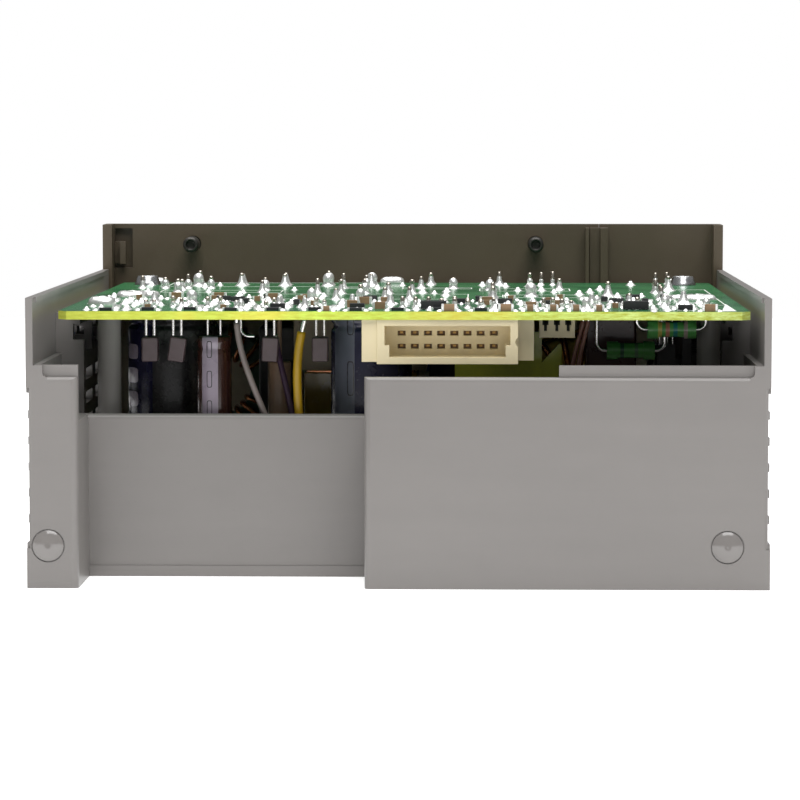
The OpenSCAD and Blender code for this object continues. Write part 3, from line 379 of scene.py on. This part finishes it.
for name, width in {
    "housing_tray": 0.42, "front_bezel": 0.4, "upper_front_panel": 0.4, "terminal_door": 0.3,
    "bus_connector": 0.16, "terminal_block": 0.25, "voltage_jumper": 0.2, "voltage_header": 0.2,
    "film_capacitor": 0.6, "suppression_capacitor": 0.8, "ferrite_beads": 0.35,
    "transformer_core": 0.5, "transformer_bobbin": 0.25, "transformer_tape": 0.4, "bridge_rectifier": 0.3,
    "power_transistors": 0.3, "heatsink": 0.15, "choke_core": 0.8, "output_inductor_core": 0.9,
    "board_screws": 0.15, "terminal_screws": 0.15, "terminal_clamps": 0.15, "captive_screw_lower": 0.2,
    "captive_screw_upper": 0.2, "fuse_caps": 0.25, "fuse_clips": 0.1, "rear_plugs": 0.1,
    "power_led_lens": 0.2, "transistor_screws": 0.2, "rod_inductor": 0.4,
}.items():
    soften(name, width)


# ---------------------------------------------------------------- pieces

def piece(name, bm, looks, body="chassis", smooth=True):
    """Finishes a bmesh as an object of its own, which rides on a body.

    Bevelling leaves the faces in no fixed order, so they are sorted by their corners, which gives the same
    mesh each run.
    """
    bm.verts.index_update()
    order = sorted(bm.faces, key=lambda f: [v.index for v in f.verts])
    rank = {f: i for i, f in enumerate(order)}
    bm.faces.sort(key=rank.get)
    mesh = bpy.data.meshes.new(name)
    bm.to_mesh(mesh)
    bm.free()
    for look in looks:
        mesh.materials.append(MAT[look])
    for p in mesh.polygons:
        p.use_smooth = smooth
    o = bpy.data.objects.new(name, mesh)
    bpy.context.collection.objects.link(o)
    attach(o, body)
    return o


def circle(sides):
    """Angles of the corners of a polygon."""
    return [2 * math.pi * i / sides for i in range(sides)]


def rounded(angle, power):
    """Cosine and sine of an angle, bent from a circle towards a square as power falls below 1."""
    return [math.copysign(abs(v) ** power, v) for v in (math.cos(angle), math.sin(angle))]


def lathe(bm, profile, centre, sides=20, look=0):
    """Turns a profile of (radius, height) pairs about the upright axis through centre."""
    rings = []
    for r, h in profile:
        spread = [(r * math.cos(a), r * math.sin(a), h) for a in circle(sides)] if r > 0 else [(0, 0, h)]
        rings.append([bm.verts.new(centre + Vector(point)) for point in spread])
    faces = []
    for a, b in zip(rings, rings[1:]):
        for i in range(sides):
            j = (i + 1) % sides
            corners = [a[i % len(a)], a[j % len(a)], b[j % len(b)], b[i % len(b)]]
            corners = list(dict.fromkeys(corners))
            if len(corners) > 2:
                faces.append(bm.faces.new(corners))
    for f in faces:
        f.material_index = look
    return faces


def skin(bm, rings):
    """Faces between rings that have the same number of corners."""
    sides = len(rings[0])
    return [bm.faces.new((a[i], a[(i + 1) % sides], b[(i + 1) % sides], b[i]))
            for a, b in zip(rings, rings[1:]) for i in range(sides)]


def slab(bm, a, b, look=0, bevel=0.0):
    """Box between two corners, with its edges bevelled if asked."""
    a, b = Vector(a), Vector(b)
    made = bmesh.ops.create_cube(bm, size=1.0, matrix=Matrix.Translation((a + b) / 2)
                                 @ Matrix.Diagonal((*(b - a), 1.0)))
    verts = made["verts"]
    faces = dict.fromkeys(f for v in verts for f in v.link_faces)
    for f in faces:
        f.material_index = look
    if bevel:
        edges = list(dict.fromkeys(e for v in verts for e in v.link_edges))
        cut = bmesh.ops.bevel(bm, geom=edges, offset=bevel, segments=2, affect="EDGES", profile=0.6)
        for f in cut["faces"]:
            f.material_index = look


LEAD_R = 0.40 * MM
DROP_R = 0.52 * MM
ONION_SHARE = 0.3
DROP_SHARE = 0.45
REAR_ROWS = 16
CROWD_REAR = 0.20
CROWD_FRONT = 0.05


def cone_profile(r):
    """Solder that wets up a lead in a hollow-sided cone."""
    return [(r, 0), (r * 0.84, 0.10 * r), (r * 0.60, 0.36 * r), (r * 0.46, 0.75 * r),
            (LEAD_R * 1.25, 1.25 * r), (LEAD_R, 1.5 * r)]


def onion_profile(r):
    """Too much solder: a bulb round the lead over a wide foot."""
    return [(r, 0), (r * 0.88, 0.10 * r), (r * 0.70, 0.30 * r), (r * 0.68, 0.62 * r),
            (r * 0.74, 1.00 * r), (r * 0.66, 1.36 * r), (r * 0.46, 1.62 * r), (LEAD_R, 1.75 * r)]


def joint(bm, spot, r, tall):
    """A solder joint with the cut end of its lead, which sometimes carries a drop."""
    profile = onion_profile(r) if RANDOM.random() < ONION_SHARE else cone_profile(r)
    lathe(bm, profile, spot)
    foot = profile[-1][1] * 0.9
    if tall < foot:
        lathe(bm, [(LEAD_R, foot), (LEAD_R * 0.8, foot + 0.25 * MM), (0, foot + 0.32 * MM)], spot, 12)
        return
    tall = max(tall, foot + 0.4 * MM)
    if RANDOM.random() < DROP_SHARE:
        b = DROP_R
        tip = [(LEAD_R, foot), (LEAD_R, tall - 1.8 * b), (b * 0.8, tall - 1.45 * b), (b, tall - 0.85 * b),
               (b * 0.8, tall - 0.3 * b), (b * 0.4, tall - 0.05 * b), (0, tall)]
    else:
        tip = [(LEAD_R, foot), (LEAD_R, tall - 0.22 * MM), (LEAD_R * 0.7, tall - 0.04 * MM), (0, tall)]
    lathe(bm, tip, spot, 14, 1)


def low_joint(bm, spot, r):
    """A short wide fillet round a lead cut flush."""
    profile = [(r, 0), (r * 0.8, 0.12 * r), (r * 0.5, 0.42 * r), (r * 0.3, 0.72 * r), (0, 0.86 * r)]
    lathe(bm, profile, spot, 18)


def joints_from(node):
    """Centre and radius of each solid of a node: its vertices, grouped by where they stand."""
    bm = bmesh.new()
    bm.from_mesh(NODES[node].data)
    bmesh.ops.remove_doubles(bm, verts=bm.verts, dist=0.001 * MM)
    seen, found = set(), []
    for v in bm.verts:
        if v in seen:
            continue
        group, queue = [], [v]
        seen.add(v)
        while queue:
            w = queue.pop()
            group.append(w.co.copy())
            for e in w.link_edges:
                u = e.other_vert(w)
                if u not in seen:
                    seen.add(u)
                    queue.append(u)
        lo = Vector(tuple(min(c[i] for c in group) for i in range(3)))
        hi = Vector(tuple(max(c[i] for c in group) for i in range(3)))
        found.append(((lo + hi) / 2, (hi.x - lo.x) / 2))
    bm.free()
    found.sort(key=lambda f: (round(f[0].x, 6), round(f[0].y, 6)))
    return found


def solder_field():
    """The joints of the parts under the board, and the smaller ones of resistors and wire links between them.

    Returns the places that are taken, as x, y and radius.
    """
    bm = bmesh.new()
    taken = []
    for centre, r in joints_from("solder_joints"):
        far = (centre.y - BOARD_LOW.y) / (BOARD_HIGH.y - BOARD_LOW.y)
        tall = RANDOM.uniform(1.2, 2.3) * MM if far < 0.3 else RANDOM.uniform(2.3, 3.3) * MM
        joint(bm, Vector((centre.x, centre.y, BOARD_TOP)), r, tall)
        taken.append((centre.x, centre.y, r))
    columns = int((BOARD_HIGH.x - BOARD_LOW.x) / PITCH) - 2
    rows = int((BOARD_HIGH.y - BOARD_LOW.y) / PITCH) - 3
    for row in range(2, rows):
        crowd = CROWD_REAR if row < REAR_ROWS else CROWD_FRONT
        for column in range(2, columns):
            if RANDOM.random() > crowd:
                continue
            x, y = BOARD_LOW.x + column * PITCH, BOARD_LOW.y + row * PITCH
            r = RANDOM.uniform(0.8, 1.25) * MM
            if is_free(taken, x, y, r + 0.15 * MM):
                taken.append((x, y, r))
                low_joint(bm, Vector((x, y, BOARD_TOP)), r)
    field = piece("solder_field", bm, ["solder", "lead_tip"])
    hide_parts("solder_joints", "lead_ends")
    return taken


def is_free(taken, x, y, r):
    return all((x - a) ** 2 + (y - b) ** 2 > (r + c) ** 2 for a, b, c in taken)


def solder_lumps():
    """Thick tinned lumps where the heavy current tabs come through: steep sides and a rounded, uneven top.

    Each lump is its place on the board, half its width and depth, and its height, in millimetres.
    """
    bm = bmesh.new()
    sides = 28
    lumps_at = [(11.2, 31, 2.6, 2.0, 1.9), (13.6, 65, 3.2, 2.4, 1.5), (16.4, 69, 2.6, 1.8, 1.3),
                (11.6, 134, 3.1, 1.6, 1.3), (65.5, 134.2, 2.6, 1.6, 1.5), (129.7, 134.4, 2.6, 1.6, 1.2),
                (129.9, 56, 3.4, 2.6, 1.3), (125.9, 60, 2, 1.6, 1)]
    outline = [(0.0, 1.0), (0.12, 1.03), (0.5, 1.0), (0.75, 0.93), (0.9, 0.78), (1.0, 0.45)]
    for x, y, half_x, half_y, tall in lumps_at:
        centre = on_board(x, y)
        rings = []
        for h, k in outline:
            ring = []
            for a in circle(sides):
                wobble = 1 + 0.05 * math.sin(3 * a + x) + 0.03 * math.sin(7 * a + y)
                across, deep = rounded(a, 0.6)
                top = h * tall * MM * (1 + 0.06 * math.sin(5 * a))
                ring.append(bm.verts.new(centre + Vector((across * half_x * MM * k * wobble,
                                                          deep * half_y * MM * k * wobble, top))))
            rings.append(ring)
        skin(bm, rings)
        bm.faces.new(rings[-1])
    lumps = piece("solder_lumps", bm, ["solder"])


CHIP_LOOKS = ["alumina", "tinned", "ceramic", "epoxy", "solder"]
ALUMINA, TINNED, CERAMIC, EPOXY, SOLDER = range(len(CHIP_LOOKS))
CHIP_SPACE = 1.9 * MM
CHIP_TRIES = 300
STRIP_SIDES = (9, 130)
STRIP_REAR = 13.6
STRIP_DEPTH = 50


def chip(bm, centre, size, end, look):
    """Chip part with soldered ends along its longer side; size and end are in millimetres."""
    sx, sy, sz = (v * MM for v in size)
    end *= MM
    step = 0.03 * MM
    along_x = sx >= sy
    lo, hi = centre - Vector((sx / 2, sy / 2, 0)), centre + Vector((sx / 2, sy / 2, sz))
    cut = Vector((end, 0, 0)) if along_x else Vector((0, end, 0))
    inset = Vector((0, step, 0)) if along_x else Vector((step, 0, 0))
    near_high = Vector((lo.x + end, hi.y, hi.z)) if along_x else Vector((hi.x, lo.y + end, hi.z))
    far_low = Vector((hi.x - end, lo.y, lo.z)) if along_x else Vector((lo.x, hi.y - end, lo.z))
    slab(bm, lo + cut + inset, hi - cut - inset - Vector((0, 0, step)), look, 0.04 * MM)
    slab(bm, lo, near_high, SOLDER, 0.08 * MM)
    slab(bm, far_low, hi, SOLDER, 0.08 * MM)
    across = min(sx, sy) * 0.55
    fillet = [(across, 0), (across * 0.85, 0.1 * MM), (across * 0.45, 0.3 * MM), (0, 0.38 * MM)]
    for s in (-1, 1):
        out = s * (max(sx, sy) / 2 + 0.25 * MM)
        lathe(bm, fillet, centre + Vector((out, 0, 0) if along_x else (0, out, 0)), 14, SOLDER)


def small_transistor(bm, centre, turn):
    """Three-legged surface transistor: black body, tinned legs and their solder."""
    ahead = Vector((math.cos(turn), math.sin(turn), 0))
    across = Vector((-ahead.y, ahead.x, 0))
    half = Vector((1.45, 0.65, 0)) * MM if abs(ahead.x) > 0.5 else Vector((0.65, 1.45, 0)) * MM
    lift = Vector((0, 0, 0.12 * MM))
    fillet = [(0.55 * MM, 0), (0.45 * MM, 0.12 * MM), (0.2 * MM, 0.34 * MM), (0, 0.42 * MM)]
    slab(bm, centre - half + lift, centre + half + Vector((0, 0, 1.1 * MM)), EPOXY, 0.12 * MM)
    for along, out in ((-0.95, -1), (0.95, -1), (0, 1)):
        foot = centre + ahead * along * MM + across * out * 1.15 * MM
        slab(bm, foot - Vector((0.22, 0.22, 0)) * MM, foot + Vector((0.22, 0.22, 0.3)) * MM, TINNED,
             0.05 * MM)
        lathe(bm, fillet, foot, 12, SOLDER)


def chips(taken):
    """The chip resistors and capacitors with their plated ends, and more small parts in the rear strip."""
    bm = bmesh.new()
    for centre, half in joints_from("chip_resistors"):
        size = (1.6, 3.2, 0.6) if half < 1.2 * MM else (3.2, 1.6, 0.6)
        chip(bm, Vector((centre.x, centre.y, BOARD_TOP)), size, 0.42, ALUMINA)
        taken.append((centre.x, centre.y, 3.2 * 0.62 * MM))
    for centre, _ in joints_from("chip_capacitors"):
        chip(bm, Vector((centre.x, centre.y, BOARD_TOP)), (2, 1.25, 1.1), 0.42, CERAMIC)
        taken.append((centre.x, centre.y, 2 * 0.62 * MM))
    for centre, _ in joints_from("control_chips"):
        taken.append((centre.x, centre.y, 4 * MM))
    for k in range(CHIP_TRIES):
        x = RANDOM.uniform(*STRIP_SIDES)
        spot = on_board(x, STRIP_REAR + STRIP_DEPTH * RANDOM.random() ** 1.6)
        if not is_free(taken, spot.x, spot.y, CHIP_SPACE):
            continue
        taken.append((spot.x, spot.y, CHIP_SPACE))
        kind = k % 4
        if kind == 0:
            small_transistor(bm, spot, RANDOM.choice((0, math.pi / 2, math.pi)))
        elif kind == 1:
            chip(bm, spot, (2, 1.25, 1.0), 0.42, CERAMIC)
        elif kind == 2:
            chip(bm, spot, (1.25, 2, 0.55), 0.4, ALUMINA)
        else:
            chip(bm, spot, (3.0, 1.5, 1.4), 0.5, CERAMIC)
    made = piece("chip_parts", bm, CHIP_LOOKS, smooth=False)
    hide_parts("chip_resistors", "chip_capacitors")


def ink_line(bm, x0, y0, x1, y1):
    slab(bm, on_board(x0, y0), on_board(x1, y1, 0.04))


def silkscreen():
    """Plain white ink on the board: a corner triangle and outlines round the parts below."""
    bm = bmesh.new()
    corners = [(131.6, 14), (134.4, 14.4), (134.2, 42)]
    top = [bm.verts.new(on_board(x, y, 0.05)) for x, y in corners]
    base = [bm.verts.new(on_board(x, y)) for x, y in corners]
    bm.faces.new(top)
    for i in range(3):
        bm.faces.new((base[i], base[(i + 1) % 3], top[(i + 1) % 3], top[i]))
    line = 0.22
    for name, grow in (("transformer_core", 1.0), ("suppression_capacitor", 0.8), ("film_capacitor", 0.6),
                       ("bridge_rectifier", 0.8), ("heatsink", 0.6), ("terminal_block", 1.2),
                       ("thermistor", 0.6), ("varistor", 0.6), ("choke_core", 1.0),
                       ("output_inductor_core", 1.0)):
        a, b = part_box(name)
        x0, x1 = (a.x - CORNER.x) / MM - grow, (b.x - CORNER.x) / MM + grow
        y0, y1 = (a.y - CORNER.y) / MM - grow, min((b.y - CORNER.y) / MM + grow, 137)
        for left, low_y, right, high_y in ((x0, y0, x1, y0 + line), (x0, y1 - line, x1, y1),
                                           (x0, y0, x0 + line, y1), (x1 - line, y0, x1, y1)):
            ink_line(bm, left, low_y, right, high_y)
    ink = piece("board_ink", bm, ["white_ink"], smooth=False)


SLEEVE, STRIPE, BARE_END, BUNG, INK = range(5)


def can(name, centre, r, z0, z1, looks, stripe_at, half_stripe, marks):
    """Radial electrolytic capacitor: sleeve over a rolled can, bare end, and a stripe with oblong marks.

    looks gives the sleeve, the stripe and the marks' ink. marks gives how far in millimetres the first one's
    middle is below the top and the next one is below it, their angle, half angle and half height, and how
    hollow they are.
    """
    bm = bmesh.new()
    h = z1 - z0
    neck = 2.6 * MM
    profile = [(0, 0.35 * MM), (r * 0.80, 0.35 * MM), (r * 0.84, 0.0), (r * 0.90, 0.0),
               (r * 0.985, 0.35 * MM), (r, 1.1 * MM), (r, h - neck - 1.0 * MM),
               (r * 0.985, h - neck - 0.5 * MM), (r * 0.93, h - neck),
               (r * 0.93, h - neck + 0.4 * MM), (r * 0.985, h - neck + 0.9 * MM), (r, h - 1.2 * MM),
               (r * 0.985, h - 0.3 * MM), (r * 0.9, h), (0, h)]
    for f in lathe(bm, profile, Vector((centre.x, centre.y, z0)), 64):
        c = f.calc_center_median() - centre
        turned = (math.atan2(c.y, c.x) - stripe_at + math.pi) % (2 * math.pi) - math.pi
        if math.hypot(c.x, c.y) < r * 0.86:
            f.material_index = BARE_END if c.z + centre.z < z0 + 2 * MM else BUNG
        elif abs(turned) < half_stripe:
            f.material_index = STRIPE
    first, step, mark_at, half_a, half_h, hollow = marks
    z = z1 - first * MM
    while z > z0 + (half_h + 3) * MM:
        oblong(bm, centre, r, mark_at, z, half_h * MM, half_a, hollow)
        z -= step * MM
    made = piece(name, bm, [looks[0], looks[1], "aluminium", "rubber", looks[2]])
    return made


def oblong(bm, centre, r, angle, z, half_h, half_a, hollow):
    """Oblong printed on a can, a hair proud of the sleeve: a plain patch, or only its outline when hollow."""
    proud = r * 1.006

    def ring(k):
        points = []
        for a in circle(24):
            u, v = rounded(a, 0.4)
            turn = angle + u * half_a * k
            up = v * half_h * (1 - (1 - k) * half_a * r / half_h)
            points.append(bm.verts.new((centre.x + proud * math.cos(turn),
                                        centre.y + proud * math.sin(turn), z + up)))
        return points

    for f in skin(bm, [ring(k) for k in ((1.0, hollow) if hollow else (1.0, 0.75, 0.5, 0.25, 0.05))]):
        f.material_index = INK


def capacitors():
    """The two large cans and the brown one, with their stripes turned towards the rear."""
    under = BOARD_LOW.z
    lo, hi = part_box("bulk_capacitors")
    big_r, small_r = 9 * MM, 8 * MM
    left = Vector((lo.x + big_r, hi.y - big_r, 0))
    right = Vector((hi.x - small_r, lo.y + small_r, 0))
    large = can("bulk_capacitor_large", left, big_r, lo.z, under,
                ("charcoal", "navy", "stripe_lilac"), math.radians(-142), 0.55,
                (7.8, 4.7, math.radians(-150), 0.25, 1.5, 0))
    small = can("bulk_capacitor_small", right, small_r, lo.z + 2 * MM, under,
                ("navy", "stripe_blue", "charcoal"), math.radians(-132), 0.36,
                (0.6, 11.9, math.radians(-119), 0.10, 3.4, 0.75))
    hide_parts("bulk_capacitors")
    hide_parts("bulk_capacitors")
    a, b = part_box("brown_capacitor")
    centre = Vector(((a.x + b.x) / 2, (a.y + b.y) / 2, 0))
    brown = can("brown_capacitor_can", centre, (b.x - a.x) / 2, a.z, b.z,
                ("brown", "stripe_lilac", "charcoal"), math.radians(-103), 0.5,
                (2.5, 5.8, math.radians(-102), 0.16, 1.65, 0.72))
    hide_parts("brown_capacitor")


def bezier(points, t):
    """Point on a cubic curve through its first and last points, at t from 0 to 1."""
    a, b, c, d = points
    u = 1 - t
    return u ** 3 * a + 3 * u * u * t * b + 3 * u * t * t * c + t ** 3 * d


def tube(bm, path, r, sides=12, look=0):
    """Round tube along a path, with closed ends."""
    rings = []
    side = None
    for i, p in enumerate(path):
        ahead = (path[min(i + 1, len(path) - 1)] - path[max(i - 1, 0)]).normalized()
        side = (side - ahead * side.dot(ahead)).normalized() if side else ahead.orthogonal().normalized()
        up = ahead.cross(side)
        rings.append([bm.verts.new(p + r * (math.cos(a) * side + math.sin(a) * up)) for a in circle(sides)])
    ends = [bm.faces.new(list(reversed(rings[0]))), bm.faces.new(rings[-1])]
    for f in ends + skin(bm, rings):
        f.material_index = look


def toroid_winding(name, node, spans, turns, wire, inner, outer, half_h):
    """One continuous wire wound round a standing toroid, for each span of angle; sizes are in millimetres."""
    a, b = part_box(node)
    centre = (a + b) / 2
    bm = bmesh.new()
    clear = wire * 0.5 + 0.15
    mid = (inner + outer) / 2 * MM
    half_r = ((outer - inner) / 2 + clear) * MM
    half_y = (half_h + clear) * MM
    steps = turns * 20
    for a0, a1 in spans:
        path = []
        for i in range(steps + 1):
            t = i / steps
            a = math.radians(a0 + (a1 - a0) * t)
            u, v = rounded(2 * math.pi * turns * t, 0.5)
            out = mid + u * half_r
            path.append(centre + Vector((out * math.cos(a), v * half_y, out * math.sin(a))))
        tube(bm, path, wire / 2 * MM, 8)
    made = piece(name, bm, ["copper"])
    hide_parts(node)


def windings():
    toroid_winding("choke_wire", "choke_windings", ((20, 160), (200, 340)), 9, 1.0, 6.5, 12, 4)
    toroid_winding("inductor_wire", "output_inductor_winding", ((-60, 240),), 15, 1.3, 7, 13, 5)


# Look, diameter in millimetres, bare steps of the curve at the board, and the control points of each curve.
WIRE_RUNS = {
    "yellow_wire": ("wire_yellow", 1.7, 5, [
        [(51.4, 24, 49.8), (49.6, 24, 43), (48.6, 24, 37), (53, 25.6, 8)]]),
    "grey_wire": ("wire_grey", 1.2, 2, [
        [(38.1, 23.6, 50.2), (38.3, 24, 42), (41.5, 24, 36), (51, 23.2, 14)]]),
    "purple_wire": ("wire_purple", 1.2, 2, [
        [(45.3, 30.8, 46.4), (45.6, 30.6, 40), (48.9, 28, 36), (51.6, 27.5, 10)]]),
    "brown_wires": ("wire_brown", 0.9, 2, [
        [(105.6, 26, 50.2), (104.6, 26, 44), (102, 26, 42), (101.6, 27, 12)],
        [(106.6, 26, 50.2), (105.6, 26, 44), (103.2, 26, 42), (102.8, 27, 12)]]),
}
WIRE_STEPS = 40


def wires():
    """Hookup wires, each on its own curve down from the board, with a bare tinned end at the top."""
    for node, (look, d, bare, runs) in WIRE_RUNS.items():
        bm = bmesh.new()
        for run in runs:
            points = [under_board(*p) for p in run]
            path = [bezier(points, i / WIRE_STEPS) for i in range(WIRE_STEPS + 1)]
            tube(bm, path[bare:], d / 2 * MM, 14, 0)
            tube(bm, path[:bare + 2], d / 3.2 * MM, 10, 1)
        made = piece(node + "_run", bm, [look, "tinned"])
        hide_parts(node)


def header_slot_shade():
    """Dark plates of painted shade in the contact slots of the control board's header: a narrow foot under a
    wide head.
    """
    a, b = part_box("control_board_header")
    bm = bmesh.new()
    near, far, top = a.y + 0.5 * MM, a.y + 0.76 * MM, b.z - 0.3 * MM
    for i in range(3):
        x = a.x + (1.2 + 2.2 * i) * MM
        for half_width, bottom in ((0.28, 1.3), (0.58, 2.45)):
            half_x, base = half_width * MM, a.z + bottom * MM
            # Each slab is painted shade standing for the depth of a slot.
            slab(bm, (x - half_x, near, base), (x + half_x, far, top), 0, 0.02 * MM)
    made = piece("header_slot_shade", bm, ["slot_shade"], smooth=False)


def connector_slots():
    """The spring contacts that show in the mouths of the rear connector's sixteen holes, each in front of a
    dark plate of painted shade for the hole's depth.
    """
    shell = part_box("bus_connector")[0]
    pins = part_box("bus_contacts")
    bm = bmesh.new()
    first = (pins[0].x + pins[1].x) / 2 - 3.5 * PITCH
    for row in range(2):
        for column in range(8):
            at = Vector((first + column * PITCH, shell.y + 7.2 * MM, shell.z + 3.05 * MM + row * PITCH))
            # A dark plate of painted shade at the back of the hole's mouth.
            slab(bm, at + Vector((-0.7, 0, -0.4)) * MM, at + Vector((0.7, 0.3, 0.4)) * MM, 0, 0.05 * MM)
            slab(bm, at + Vector((-0.3, -0.3, -0.1)) * MM, at + Vector((0.3, 0.1, 0.34)) * MM, 1, 0.04 * MM)
    made = piece("contact_springs_and_hole_shade", bm, ["hole_shade", "spring"], smooth=False)


taken = solder_field()
solder_lumps()
chips(taken)
silkscreen()
capacitors()
windings()
wires()
header_slot_shade()
connector_slots()


# ---------------------------------------------------------------- camera, floor and light

LENS = 157.9
SENSOR = 36
CAMERA_SIDE = 0.01584
CAMERA_BACK = 0.65646
CAMERA_HEIGHT = 0.08634
CAMERA_DOWN = math.radians(4.401)
CAMERA_TURN = math.radians(1.344)
FLOOR_RADIUS = 0.9
FLOOR_GLOW = 0.5
ROOM = 0.17
BACKDROP = 1.0


def camera():
    """Behind the rear face, a little above the board, looking slightly down and towards the pocket."""
    data = bpy.data.cameras.new("camera")
    data.lens = LENS
    data.sensor_width = SENSOR
    data.clip_start = 0.01
    cam = bpy.data.objects.new("camera", data)
    bpy.context.collection.objects.link(cam)
    cam.location = (CAMERA_SIDE, CORNER.y - CAMERA_BACK, CAMERA_HEIGHT)
    cam.rotation_euler = (math.pi / 2 - CAMERA_DOWN, 0, CAMERA_TURN)
    bpy.context.scene.camera = cam


def floor():
    """Flat white table top, big enough to fill the view below the object."""
    bm = bmesh.new()
    bmesh.ops.create_circle(bm, cap_ends=True, segments=64, radius=FLOOR_RADIUS)
    mesh = bpy.data.meshes.new("floor")
    bm.to_mesh(mesh)
    bm.free()
    m, tree, bsdf = start("floor_paper")
    tree.links.new(ramp(tree, noise(tree, 4.0), [(0.3, 0.93), (0.7, 0.95)]), bsdf.inputs["Base Color"])
    bsdf.inputs["Roughness"].default_value = 0.9
    bsdf.inputs["Specular IOR Level"].default_value = 0.1
    bsdf.inputs["Emission Color"].default_value = (1, 1, 1, 1)
    bsdf.inputs["Emission Strength"].default_value = FLOOR_GLOW
    mesh.materials.append(m)
    o = bpy.data.objects.new("floor", mesh)
    bpy.context.collection.objects.link(o)


def area(name, place, target, size, power):
    data = bpy.data.lights.new(name, "AREA")
    data.shape = "RECTANGLE"
    data.size, data.size_y = size
    data.energy = power
    o = bpy.data.objects.new(name, data)
    bpy.context.collection.objects.link(o)
    o.location = place
    o.rotation_euler = (Vector(target) - Vector(place)).to_track_quat("-Z", "Y").to_euler()


def light():
    """A dim room with a white backdrop, a wide softbox overhead and a smaller one behind the camera."""
    world = bpy.data.worlds.new("studio")
    world.use_nodes = True
    tree = world.node_tree
    room = tree.nodes["Background"]
    room.inputs["Color"].default_value = (1, 1, 1, 1)
    room.inputs["Strength"].default_value = ROOM
    backdrop = node_at(tree, "ShaderNodeBackground", Color=(1, 1, 1, 1), Strength=BACKDROP)
    seen = tree.nodes.new("ShaderNodeLightPath")
    blend = tree.nodes.new("ShaderNodeMixShader")
    tree.links.new(seen.outputs["Is Camera Ray"], blend.inputs[0])
    tree.links.new(room.outputs[0], blend.inputs[1])
    tree.links.new(backdrop.outputs[0], blend.inputs[2])
    tree.links.new(blend.outputs[0], tree.nodes["World Output"].inputs["Surface"])
    bpy.context.scene.world = world
    area("overhead", (0, 0.05, 1.0), (0, 0, 0), (1.1, 1.0), 13)
    area("key", (0.1, -0.85, 1.1), (0, 0, 0.03), (0.9, 0.7), 10)
    bpy.context.scene.view_settings.view_transform = "Standard"


camera()
floor()
light()
